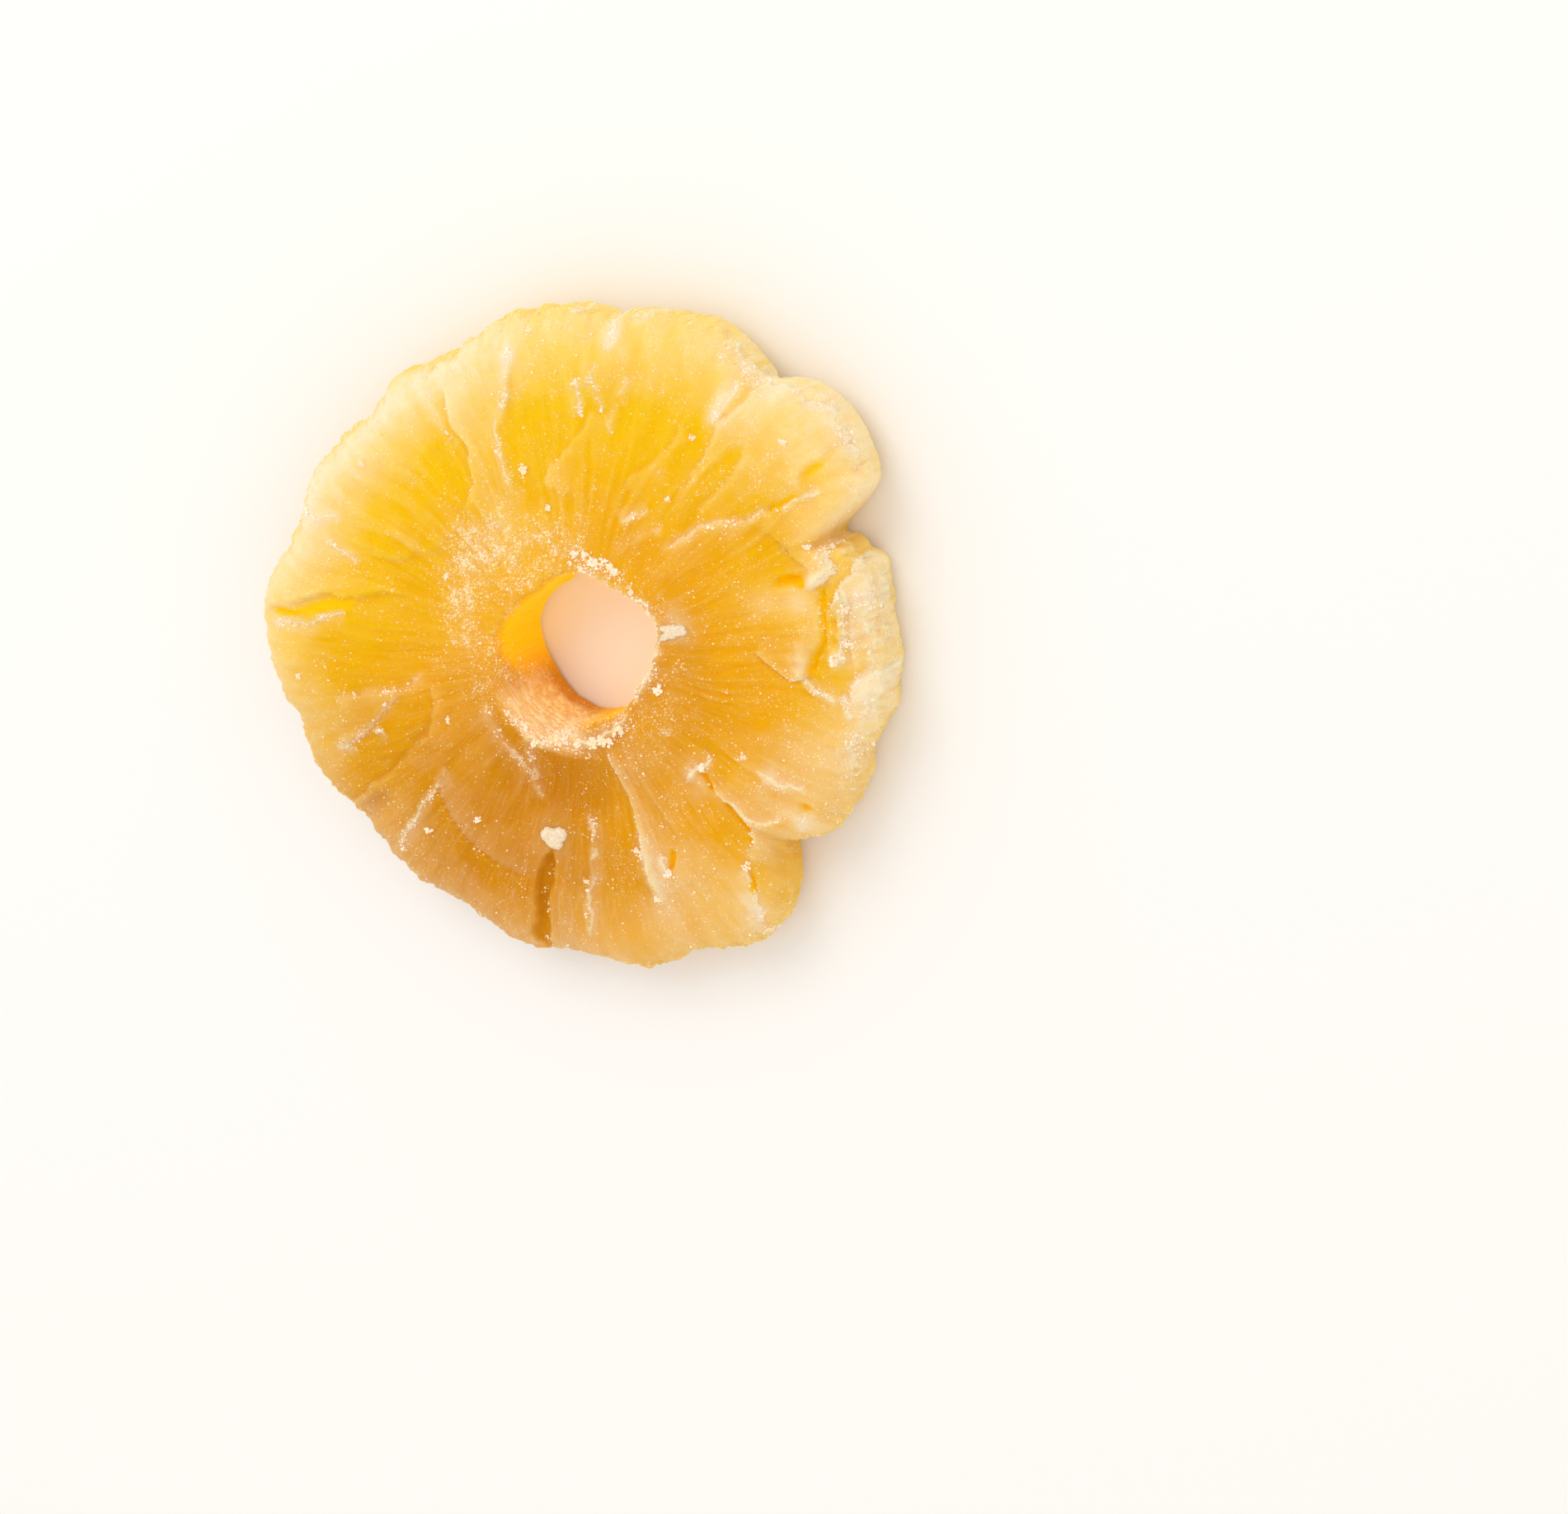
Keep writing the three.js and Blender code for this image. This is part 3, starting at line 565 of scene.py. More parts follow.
def section(outer_top, outer_foot, hole_top, hole_foot):
    corners = [
        (BOX_WIDTH - outer_foot, outer_foot, outer_foot, -90),
        (BOX_WIDTH - outer_top, BOX_HEIGHT - outer_top, outer_top, 0),
        (hole_top, BOX_HEIGHT - hole_top, hole_top, 90),
        (hole_foot, hole_foot, hole_foot, 180),
    ]
    points = []
    for x, z, radius, start in corners:
        arc = np.radians(np.linspace(start, start + 90, ARC_POINTS))
        points.append(np.stack([x + radius * np.cos(arc), z + radius * np.sin(arc)], axis=1))
    points = np.vstack([*points, points[0][:1]])
    gone = np.concatenate([[0], np.cumsum(np.hypot(*np.diff(points, axis=0).T))])
    middle = ARC_POINTS // 2
    marks = [0, *(gone[corner * ARC_POINTS + middle] for corner in (1, 2, 3)), gone[-1]]
    stretches = zip(marks, marks[1:], STEPS.values())
    walk = np.concatenate([np.linspace(start, end, count, endpoint=False) for start, end, count in stretches])
    return np.interp(walk, gone, points[:, 0]) / BOX_WIDTH, np.interp(walk, gone, points[:, 1]) / BOX_HEIGHT


PLUMP = section(outer_top=5.2, outer_foot=3.8, hole_top=1.1, hole_foot=1.2)
CUT = section(outer_top=2.2, outer_foot=1.6, hole_top=1.1, hole_foot=1.2)
CUT_STARTS, CUT_ENDS = (-24, -12), (31, 22)


def cut_share(angle):
    """1 at the right, where the side is upright, and 0 elsewhere."""
    bearing = turn(0, angle)
    return step(*CUT_STARTS, bearing) * step(*CUT_ENDS, bearing)


print(sum(STEPS.values()), "points round the section")

# %% [markdown]
# ## The ring's points
# Shares become places: the share of the way out picks the radius between hole and edge, and the share of the way
# up picks the height between foot and top. The upright faces get relief of their own, pushed in and out instead of
# up and down: coarse lumps, and strings that stand upright in the wall of the hole.

# %% Points of the ring
RAYS = 720

ray_angle = 360.0 * np.arange(RAYS)[:, None] / RAYS
cut = cut_share(ray_angle)
out_share = PLUMP[0] + (CUT[0] - PLUMP[0]) * cut
up_share = PLUMP[1] + (CUT[1] - PLUMP[1]) * cut
angle = np.broadcast_to(ray_angle, out_share.shape)
inner, outer = hole_radius(angle), reach(angle)
radius = inner + (outer - inner) * out_share
top, gap, crest, deep, tone, wet = top_fields(radius, angle)
foot = foot_height(radius, angle)
height = foot + (top - foot) * up_share

upright = bell((up_share - 0.45) / 0.38)
outer_face = step(0.86, 1.0, out_share) * upright
hole_face = step(0.10, 0.0, out_share) * upright
around_side = noise_round(110, angle, height / 2.2, 61)
around_fine = noise(angle * 520 / 360, height / 1.2, 62)
push = outer_face * (0.45 * around_side + 0.2 * around_fine) * (1 + 0.8 * plateau(5, 20, angle))
push = push + hole_face * (0.16 * noise_round(90, angle, height / 6, 63) + 0.1 * around_side)
rim_edge = step(0.84, 0.97, out_share) * step(0.3, 0.7, up_share)
push = push + rim_edge * (0.22 * noise_round(180, angle, height / 2, 64) + 0.2 * around_fine)
hole_edge = step(0.07, 0.02, out_share) * step(0.75, 0.95, up_share)
hole_ragged = 0.3 * noise_round(90, angle, height / 2, 65) + 0.16 * noise_round(180, angle, height, 66)
push = push + hole_edge * hole_ragged
radius = radius + push
x, y = place(radius, angle)
points = np.stack([x, y, height], axis=-1).reshape(-1, 3)
print("raw box from", np.round(points.min(axis=0), 2), "to", np.round(points.max(axis=0), 2))

# %% [markdown]
# The fine ring is fitted to the solid's box, side by side. The stretch is two percent at most, and it puts the
# ring exactly where the solid lies. The same fit then places whatever else is worked out in these millimetres.

# %% Fit to the solid
raw_low, raw_high = points.min(axis=0), points.max(axis=0)


def fitted(raw):
    """Metres in the frame, from millimetres round the hole."""
    return ring_low + (np.asarray(raw) - raw_low) / (raw_high - raw_low) * (ring_high - ring_low)


print("stretch of each side:", np.round((ring_high - ring_low) / MM / (raw_high - raw_low), 4))

# %% [markdown]
# ## A mesh from arrays
# A piece is points and faces. The ring's faces are squares between neighbouring rays, and both directions close on
# themselves. Values that vary over the surface go along as attributes, which the material can read by name.

# %% Making pieces
def make_piece(name, points, faces, smooth=True, **attributes):
    mesh = bpy.data.meshes.new(name)
    mesh.from_pydata(points.tolist(), [], faces.tolist())
    mesh.shade_smooth() if smooth else mesh.shade_flat()
    for attribute, values in attributes.items():
        layer = mesh.attributes.new(attribute, "FLOAT", "POINT")
        layer.data.foreach_set("value", np.ascontiguousarray(values, dtype=np.float32).ravel())
    piece = bpy.data.objects.new(name, mesh)
    bpy.context.collection.objects.link(piece)
    return piece


section_points = up_share.shape[1]
ray, along = np.meshgrid(np.arange(RAYS), np.arange(section_points), indexing="ij")
next_ray, next_along = (ray + 1) % RAYS, (along + 1) % section_points
corners = [(ray, along), (next_ray, along), (next_ray, next_along), (ray, next_along)]
ring_faces = np.stack([(i * section_points + j).ravel() for i, j in corners], axis=1)
print(len(points), "points and", len(ring_faces), "faces")

# %% [markdown]
# ## Where the colours go
# Masks say how the flesh looks from place to place. They could be painted by hand, but as functions they follow
# the relief. The first ones mark regions: the wall of the hole, the ribs of the ramp worn into its lower left, the
# outer side, the underside and beds of clear flesh.

# %% Regions
RIB_ANGLE, RIB_SPREAD = 238, 32
OPEN_SLIT = 257
CLEAR_BEDS = [
    (26, 72, 6, 6, 0.8), (27, 141, 7, 7, 0.8), (29, 183, 8, 7, 0.8), (21, 40, 6, 5, 0.6), (17, 268, 4, 7, 0.8),
    (22, 238, 6, 6, 0.8), (31, 92, 5, 3, 0.6), (20, -12, 6, 5, 0.5), (23, 24, 5, 4, 0.5),
    (27.7, 6.5, 2.6, 2.2, 0.7), (35, 212, 6, 3, 0.7), (24, 222, 7, 12, 0.85), (22, 203, 6, 6, 0.75),
]

inside_hole = step(0.05, 0.0, out_share)
wall = inside_hole * (1 - ramp_share(np.minimum(radius, RAMP_FOOT), angle)) * step(0.98, 0.85, up_share)
ribbed = plateau(RIB_ANGLE, RIB_SPREAD, angle) * step(13.6, 11.8, radius) * step(0.3, 0.6, up_share)
# Painted shade: the open slit is made riper, so darker, and glows less than the other slits.
open_slit_shade = bell(turn(OPEN_SLIT, angle) / 8)
side = step(0.88, 0.98, out_share) * step(0.97, 0.6, up_share)
under = step(0.35, 0.1, up_share)
clear = np.max([spot(x, y, *bed, 1.0) for bed in CLEAR_BEDS], axis=0)
out = radius * MEAN_REACH / whole_reach(angle)
milk = 0.6 * strings(radius, angle) + 0.35 * uneven(x, y, 2.2, 77) + 0.3 * uneven(x, y, 1.1, 78)
print("clear flesh covers", round(float(clear.mean()), 2), "of the points")

# %% [markdown]
# Ripeness runs from 0 for lemon yellow at the far rim over 0.5 for golden to 1 for amber at the near side and
# beside the hole. The darker amber of the near side is riper flesh and also painted shade. Painted shade alone
# darkens the near rim further. `glow` is where light comes through: the wall of the hole, the pits and slits, and
# the ribs of the ramp.

# %% Ripeness, painted shade and glow
# Angle, half width in degrees and strength of each change round the ring.
RIPER_AND_SHADIER = [(108, 55, -0.2), (250, 42, 0.45), (160, 22, -0.06), (345, 40, 0.12), (205, 18, 0.08)]
LESS_RIPE_AND_SHADED_OUTWARDS = [(228, 32, -0.26), (355, 22, 0.1), (302, 25, -0.04)]
NEAR_RIM_SHADE = [(294, 40, 0.03), (205, 24, 0.08)]

outwards = (0.31 + bells(angle, LESS_RIPE_AND_SHADED_OUTWARDS)) * (radius - 18) / 18
# Painted shade, in part: higher values give darker amber, riper flesh that also stands for shade on the near side.
ripe = 0.5 + bells(angle, RIPER_AND_SHADIER) - outwards - 0.05 * step(16, 12, radius) + 0.05 * uneven(x, y, 7, 71)
# Painted light: the wall of the hole, the ribs of the ramp and the wet pits and slits are made less ripe, so
# lighter, for light shining through the flesh there.
ripe = np.clip(ripe + (0.35 * open_slit_shade - 0.15) * wet - 0.12 * wall - 0.15 * ribbed, 0, 1.1)
# Painted shade: this darkens the near rim, from 22 mm outwards.
dull = step(22, 34, radius) * bells(angle, NEAR_RIM_SHADE)
glow = np.maximum(np.maximum(0.22 * wet * (1 - 0.7 * open_slit_shade), wall), 0.3 * ribbed)
print("ripe is", round(float(ripe.mean()), 2), "on average")

# %% [markdown]
# `pale` is dry, thin or finely sugared flesh: the rim, the raised side of the folds, a halo along their crests
# and some patches, all with milky streaks along the strings. Parts of the rim and the ribs of the ramp are also
# painted light. The outer side is golden, least so at the right.

# %% Pale
PALER_RIM = [(5, 24, 0.08), (48, 22, 0.1), (215, 20, -0.15), (285, 40, -0.12)]
PALE_PATCHES = [
    (37, 104, 5, 5, 0.12), (18, 122, 3, 4, 0.15), (31, 14.5, 2.0, 1.6, 0.45), (26.5, 16, 2.2, 2.0, 0.25),
    (29.9, 0, 1.0, 2.4, 0.5), (28.8, -29.6, 0.9, 2.4, 0.35), (34.8, -34.8, 2.2, 1.0, 0.35),
    (30.5, -28, 5, 6, 0.18), (22, -44, 3.5, 2.2, 0.25), (28, -73, 7, 2.2, 0.35), (30, -66, 6, 6, 0.2),
    (37.5, -55.6, 2.8, 1.1, 0.35), (29, -95, 6, 6, 0.12), (24.5, 256, 3, 3, 0.2), (31, 222, 6, 6, 0.1),
    (37.4, 56, 3, 1.0, 0.5), (41, 45, 4, 6, 0.12), (37.6, 100.5, 1.5, 0.9, 0.5), (14.5, 17, 2, 2, 0.5),
    (39.6, 79.8, 1.4, 0.8, 0.6), (34.6, 18, 2, 0.8, 0.6), (38.1, 22.6, 1.3, 1.2, 0.5), (41, 19, 2.2, 3.5, 0.4),
    (38.6, -6, 2.4, 3.2, 0.3), (34.2, 1, 0.9, 1.2, 0.6), (36.7, 201.6, 1.6, 1.0, 0.3), (38, 8, 2.5, 8, 0.08),
]

# Painted light, in part: the rim is made palest at the upper left, where light shines through it, and paler at the
# right, lifting edges turned away from the lamp.
rim_strength = 0.5 + 0.75 * plateau(138, 36, angle) + bells(angle, PALER_RIM)
pale = rim_strength * np.clip((out + 0.5 * uneven(x, y, 5, 72) - 28) / 14, 0, 1) ** 1.8
pale = (pale + spots(x, y, PALE_PATCHES, 1.0) + tone) * (1 - 0.7 * clear)
pale = np.clip(pale * (1 + 0.15 * milk) + 0.05 * milk, 0, 1)
halo = crest * np.where(gap > 0, bell(gap / 1.2), bell(gap / 0.5))
# Painted light, in part: the ribs of the ramp are made paler, for their white fibres and to lift a slope in shade.
pale = (pale + 0.35 * halo) * (1 - wet) * (1 - wall) + 0.5 * ribbed
golden = side * (0.75 + bells(angle, [(20, 65, -0.55)])) * (1 + 0.4 * strings(radius, angle))
pale = np.clip(pale * (1 - golden) + side * bells(angle, [(30, 40, 0.12)]), 0, 1)
print("pale is", round(float(pale.mean()), 2), "on average")

# %% [markdown]
# `frost` is the density of grains that can be seen, thickest on the stiff middle round the hole and again on the
# outermost edge. With it all masks are ready, and the ring can be made.

# %% Frost, and the ring
frost = core_grain(radius, angle) * (0.6 + 0.3 * uneven(x, y, 1.6, 73)) * (0.45 + 0.55 * step(12, 17, radius))
frost = frost + (0.12 + 0.2 * milk) * (1 + bells(angle, [(230, 35, -0.5)])) * (1 - 0.7 * clear)
frost = frost + 0.35 * step(39.5, 43, out) * step(0.35, 0.6, out_share)
frost = np.clip(frost * (1 - 0.9 * wall) * (1 - wet) * (1 - 0.8 * ribbed), 0, 1)
ring = make_piece(
    "candied_ring", fitted(points), ring_faces,
    ripe=ripe, pale=pale * (1 - 0.5 * under), frost=frost * (1 - 0.6 * under), gap=np.clip(gap, -3, 3),
    crest=crest * (1 - under), deep=deep * (1 - under), wet=wet * (1 - under), glow=glow, ribbed=ribbed, dull=dull,
)
print("frost is", round(float(frost.mean()), 2), "on average")

# %% [markdown]
# ## Shader maths as Python
# A material is a tree of nodes. Wired by hand it becomes hard to read, so one small class wraps a socket and lets
# values be added and multiplied with plain signs. Each sign adds a Math node. `make` adds any other node: its
# settings go first, then the values or links of its sockets.

# %% The shader classes
def paint(red, green, blue):
    """A colour as the screen shows it, 0 to 255, in the linear light that shaders count in."""
    linear = [((c / 255 + 0.055) / 1.055) ** 2.4 if c > 10 else c / 255 / 12.92 for c in (red, green, blue)]
    return (*linear, 1.0)


class Value:
    def __init__(self, finish, socket):
        self.finish, self.socket = finish, socket

    def math(self, operation, *values, **settings):
        return self.finish.make("ShaderNodeMath", {"operation": operation, **settings}, *values)

    def __add__(self, other):
        return self.math("ADD", self, other)

    def __sub__(self, other):
        return self.math("SUBTRACT", self, other)

    def __rsub__(self, other):
        return self.math("SUBTRACT", other, self)

    def __mul__(self, other):
        return self.math("MULTIPLY", self, other)

    __radd__, __rmul__ = __add__, __mul__

    def clamped(self):
        return self.math("ADD", self, 0.0, use_clamp=True)


class Finish:
    """The nodes of one material."""

    def __init__(self, name):
        self.material = bpy.data.materials.new(name)
        self.material.use_nodes = True
        self.tree = self.material.node_tree
        self.tree.nodes.clear()

    def make(self, kind, settings=None, *values, out=0, **named):
        node = self.tree.nodes.new(kind)
        for setting, value in (settings or {}).items():
            setattr(node, setting, value)
        sockets = [*zip(node.inputs, values)]
        sockets += [(node.inputs[key.replace("_", " ")], value) for key, value in named.items()]
        for socket, value in sockets:
            self.plug(socket, value)
        return Value(self, node.outputs[out]) if node.outputs else None

    def plug(self, socket, value):
        if isinstance(value, Value):
            self.tree.links.new(value.socket, socket)
        else:
            socket.default_value = value

    def mask(self, name):
        return self.make("ShaderNodeAttribute", {"attribute_name": name}, out=2)

    def vector(self, operation, *values, out=0, **named):
        return self.make("ShaderNodeVectorMath", {"operation": operation}, *values, out=out, **named)

    def grain(self, place, size_mm, detail=2.0):
        """Noise from about 0.3 to 0.7, with lumps of about that size."""
        return self.make("ShaderNodeTexNoise", None, place, Scale=1000 / size_mm, Detail=detail, Roughness=0.55)

    def specks(self, place, spacing_mm, packed):
        """Round specks. The more packed they are, the more there are and the larger each is."""
        near = self.make("ShaderNodeTexVoronoi", None, place, Scale=1000 / spacing_mm)
        lot = Value(self, near.socket.node.outputs["Color"])
        dots = self.ramp(near - 0.16 * packed, 0.4, 0.24)
        return dots * self.ramp(0.55 * packed + 0.12 - lot, -0.04, 0.04)

    def ramp(self, value, start, end, smooth=True):
        """0 before start and 1 past end, with a smooth or a straight way between."""
        settings = {"interpolation_type": "SMOOTHSTEP" if smooth else "LINEAR"}
        return self.make("ShaderNodeMapRange", settings, Value=value, From_Min=start, From_Max=end)

    def blend(self, share, first, second):
        """From the first colour to the second."""
        node = self.tree.nodes.new("ShaderNodeMix")
        node.data_type = "RGBA"
        for index, value in ((0, share), (6, first), (7, second)):
            self.plug(node.inputs[index], value)
        return Value(self, node.outputs[2])

    def bump(self, height, distance_mm, strength=1.0, under=None):
        named = {"Height": height, "Distance": distance_mm * MM, "Strength": strength}
        if under is not None:
            named["Normal"] = under
        return self.make("ShaderNodeBump", None, **named)

    def surface(self, **named):
        shader = self.make("ShaderNodeBsdfPrincipled", None, **named)
        self.make("ShaderNodeOutputMaterial", None, shader)
        return self.material


# %% [markdown]
# ## The flesh
# Candied flesh is clear: light goes in, wanders a few millimetres and comes out golden, which subsurface
# scattering does. Everything that is the same all over, such as the scattering, is a plain number on the shader.
# What varies starts from noise. Some of it is stretched along the way out from the hole, like the fibres and the
# threads of the flesh, and some round the hole, like the ribs of the ramp. To stretch it, the noise is read not at
# the place itself but at one made of the direction from the hole and the distance from it.

# %% Flesh: noise
LEMON = paint(248, 202, 0)
GOLD = paint(236, 168, 0)
# Amber, the darkest clear colour, is darker partly as painted shade.
AMBER = paint(200, 123, 0)
CREAM = paint(248, 225, 187)
PEACH = paint(230, 198, 155)
SUGARED = paint(252, 233, 197)
LIT_THROUGH = paint(160, 126, 0)
BLACK = paint(0, 0, 0)

flesh = Finish("candied_flesh")
here = flesh.make("ShaderNodeTexCoord", out=3)
from_hole = flesh.vector("SUBTRACT", here, tuple(fitted((0, 0, 0))))
from_hole = flesh.vector("MULTIPLY", from_hole, (1, 1, 0))
distance = flesh.vector("LENGTH", from_hole, out=1)
direction = flesh.vector("NORMALIZE", from_hole)
above = flesh.make("ShaderNodeSeparateXYZ", None, here, out=2)


def drawn_out(around, outward, upward=0.0):
    """A place in which noise is stretched along the way out from the hole, or round it."""
    up = flesh.make("ShaderNodeCombineXYZ", None, 0.0, 0.0, outward * distance + upward * above)
    return flesh.vector("ADD", flesh.vector("SCALE", direction, Scale=around), up)


fibre = flesh.grain(drawn_out(0.028, 0.2), 0.9, detail=3.0)
threads = flesh.ramp(flesh.grain(drawn_out(0.03, 0.1), 0.3), 0.55, 0.68)
rib = flesh.grain(drawn_out(0.0011, 1.0, 0.15), 0.18)
blotches, clots, mottle = (flesh.grain(here, size_mm, detail=3.0) for size_mm in (6.0, 2.5, 1.1))
sand = flesh.grain(here, 0.3)
dust = flesh.grain(here, 0.16, detail=1.0)
print("nodes so far:", len(flesh.tree.nodes))

# %% [markdown]
# The crests of the folds are torn, finer than the mesh can show, so the material draws them itself: it takes the
# distance from the nearest line, shakes it with noise and marks what is close. The foot of a fold is creased and
# wet, and so are pits and slits, which show the clear colour again.

# %% Flesh: torn crests and wet creases
off_line = flesh.mask("gap") + 0.9 * (mottle - 0.5) + 0.7 * (sand - 0.5) + 0.4 * (dust - 0.5)
torn = flesh.ramp(off_line, -0.1, 0.04) * flesh.ramp(off_line, 0.55, 0.25) * flesh.mask("crest")
torn = torn * flesh.ramp(clots + 0.2 * flesh.mask("crest"), 0.5, 0.6)
creased = flesh.ramp(off_line, 0.1, -0.05) * flesh.ramp(off_line, -0.7, -0.25) * flesh.mask("deep")
creased = (0.8 * creased + flesh.mask("wet")).clamped()
print("nodes so far:", len(flesh.tree.nodes))

# %% [markdown]
# The clear colour runs from lemon yellow over gold to amber. Over it lies a haze, cream or peach, where the flesh
# is dry or sugared. Grains of sugar too small to model are round specks from a Voronoi texture, in two sizes,
# packed more tightly where `frost` is high.

# %% Flesh: colour
# Towards amber the colour darkens: riper flesh, and in part painted shade.
ripe_here = flesh.mask("ripe") + 0.2 * (blotches - 0.5)
colour = flesh.blend(flesh.ramp(ripe_here, 0.0, 0.5, smooth=False), LEMON, GOLD)
colour = flesh.blend(flesh.ramp(ripe_here, 0.5, 1.0, smooth=False), colour, AMBER)
clear_colour = colour
haze = flesh.mask("pale") * (1.0 + 0.7 * (mottle - 0.5) + 0.3 * (fibre - 0.5)) + 0.12 * (fibre - 0.5)
haze = haze + 0.17 * flesh.mask("frost") + 0.14 * threads * flesh.ramp(ripe_here, 0.3, 0.7)
haze_colour = flesh.blend(flesh.ramp(ripe_here, 0.2, 0.9, smooth=False), CREAM, PEACH)
colour = flesh.blend(haze.clamped(), colour, haze_colour)
packed = flesh.mask("frost") * (0.4 + 1.2 * flesh.ramp(clots, 0.4, 0.6)) + 0.3 * torn
specks = flesh.specks(here, 0.36, packed)
fine_specks = flesh.specks(here, 0.2, 1.2 * packed)
ribs = flesh.ramp(rib, 0.45, 0.58) * flesh.mask("ribbed")
colour = flesh.blend((0.55 * specks + 0.5 * fine_specks + 0.55 * ribs).clamped(), colour, SUGARED)
colour = flesh.blend(0.8 * torn, colour, SUGARED)
colour = flesh.blend(creased, colour, clear_colour)
# Painted shade: the near rim is blended towards black.
colour = flesh.blend(flesh.mask("dull"), colour, BLACK)
print("nodes so far:", len(flesh.tree.nodes))

# %% [markdown]
# Two bump layers give the surface its feel: soft swells, and on them grain, torn crests and ribs. Specks make the
# flesh rougher. A little emission stands for light that has come through the thin walls, which the scattering
# alone would need many more samples to find.

# %% Flesh: surface
relief = flesh.bump(mottle + 0.3 * fibre, 0.25, 0.6)
relief = flesh.bump(0.8 * sand + 0.9 * torn + 0.4 * ribs, 0.16, 0.8, under=relief)
# Painted light: the emission makes the wall, the ribs, the pits, slits and wet creases glow gold, and pale flesh
# glow faintly cream.
lit = (flesh.mask("glow") + 0.08 * creased).clamped()
flesh_material = flesh.surface(
    Base_Color=colour,
    Roughness=(0.45 + 0.2 * specks).clamped(),
    Normal=relief,
    Subsurface_Weight=0.55,
    Subsurface_Radius=(1.0, 0.75, 0.12),
    Subsurface_Scale=0.004,
    IOR=1.45,
    Specular_IOR_Level=0.08,
    Emission_Color=flesh.blend(lit, flesh.blend(0.05 * flesh.mask("pale"), BLACK, CREAM), LIT_THROUGH),
    Emission_Strength=1.0,
)
ring.data.materials.append(flesh_material)
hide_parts("pineapple_ring")
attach(ring, "root")
print("flesh nodes:", len(flesh.tree.nodes))

# %% [markdown]
# ## Sugar crystals
# Loose crystals sit all over the ring, a tenth to half a millimetre wide. A particle system would scatter them,
# but they are wanted as a real mesh, so each is a small eight-sided lump with its corners pushed about. The draw
# picks triangles of the ring by their area times how sugary they are, and then a place in each.

# %% Where crystals lie
def triangles_of(faces):
    return np.concatenate([faces[:, [0, 1, 2]], faces[:, [0, 2, 3]]])


ring_triangles = triangles_of(ring_faces)
ring_corners = points[ring_triangles]
normals = np.cross(ring_corners[:, 1] - ring_corners[:, 0], ring_corners[:, 2] - ring_corners[:, 0])
areas = np.linalg.norm(normals, axis=1) / 2
normals = normals / np.maximum(np.linalg.norm(normals, axis=1), 1e-12)[:, None]


def scatter(draw, count, density):
    """Places on the ring and the way out of it there. density is a value for each of the ring's points."""
    weight = areas * np.clip(density.ravel()[ring_triangles].mean(axis=1), 0, None)
    chosen = draw.choice(len(weight), count, p=weight / weight.sum())
    first, second = draw.random((2, count, 1))
    over = first + second > 1
    first, second = np.where(over, 1 - first, first), np.where(over, 1 - second, second)
    a, b, c = (ring_corners[chosen, i] for i in range(3))
    return a + first * (b - a) + second * (c - a), normals[chosen]


# %% Crystals as small lumps
LUMP_POINTS = np.array([(1, 0, 0), (-1, 0, 0), (0, 1, 0), (0, -1, 0), (0, 0, 1), (0, 0, -1)], dtype=float)
LUMP_FACES = np.array([
    (0, 2, 4), (2, 1, 4), (1, 3, 4), (3, 0, 4), (2, 0, 5), (1, 2, 5), (3, 1, 5), (0, 3, 5),
])
CORNER_REACH, CORNER_SHAKE = (0.7, 1.2), 0.18


def random_turns(draw, count):
    """Turns in space, evenly spread, as 3 by 3 matrices."""
    draws = draw.normal(size=(4, count))
    w, i, j, k = draws / np.linalg.norm(draws, axis=0)
    rows = [
        [1 - 2 * (j * j + k * k), 2 * (i * j - k * w), 2 * (i * k + j * w)],
        [2 * (i * j + k * w), 1 - 2 * (i * i + k * k), 2 * (j * k - i * w)],
        [2 * (i * k - j * w), 2 * (j * k + i * w), 1 - 2 * (i * i + j * j)],
    ]
    return np.moveaxis(np.array(rows), -1, 0)


def make_crystals(name, draw, places, outward, sizes, sink=0.25):
    """One joined piece of lumps. sizes are half widths, and sink is the share of a lump below the surface."""
    count = len(places)
    lumps = LUMP_POINTS * draw.uniform(*CORNER_REACH, (count, 6, 1))
    lumps = lumps + draw.uniform(-CORNER_SHAKE, CORNER_SHAKE, (count, 6, 3))
    lumps = np.einsum("nij,nkj->nki", random_turns(draw, count), lumps) * sizes[:, None, None]
    middle = places + outward * (sizes * (1 - 2 * sink))[:, None]
    corners = np.clip((middle[:, None, :] + lumps).reshape(-1, 3), raw_low, raw_high)
    faces = (LUMP_FACES[None] + 6 * np.arange(count)[:, None, None]).reshape(-1, 3)
    return make_piece(name, fitted(corners), faces, smooth=False)


# %% [markdown]
# Most crystals are tiny and lie loose, in drifts, where the flesh is frosted. Coarser crumbs gather on the torn
# crests and at the rim of the hole.

# %% Crystals and crumbs
CRYSTALS, CRYSTAL_HALF_WIDTH = 7000, 0.075
CRUMBS, CRUMB_HALF_WIDTH = 3600, 0.11
SIZE_SPREAD = 0.45
CRUSTS = [
    (11.7, 250, 0.35, 6.0, 0.5), (11.1, 285, 0.35, 3.0, 0.5), (12.6, 226, 0.35, 2.8, 0.4),
    (11.8, 78, 1.2, 3.4, 0.4), (12, 60, 0.7, 2.2, 0.4), (11, 302, 0.5, 2.2, 0.4),
]


def random_sizes(draw, usual, count, smallest, largest):
    return np.clip(draw.lognormal(math.log(usual), SIZE_SPREAD, count), smallest, largest)


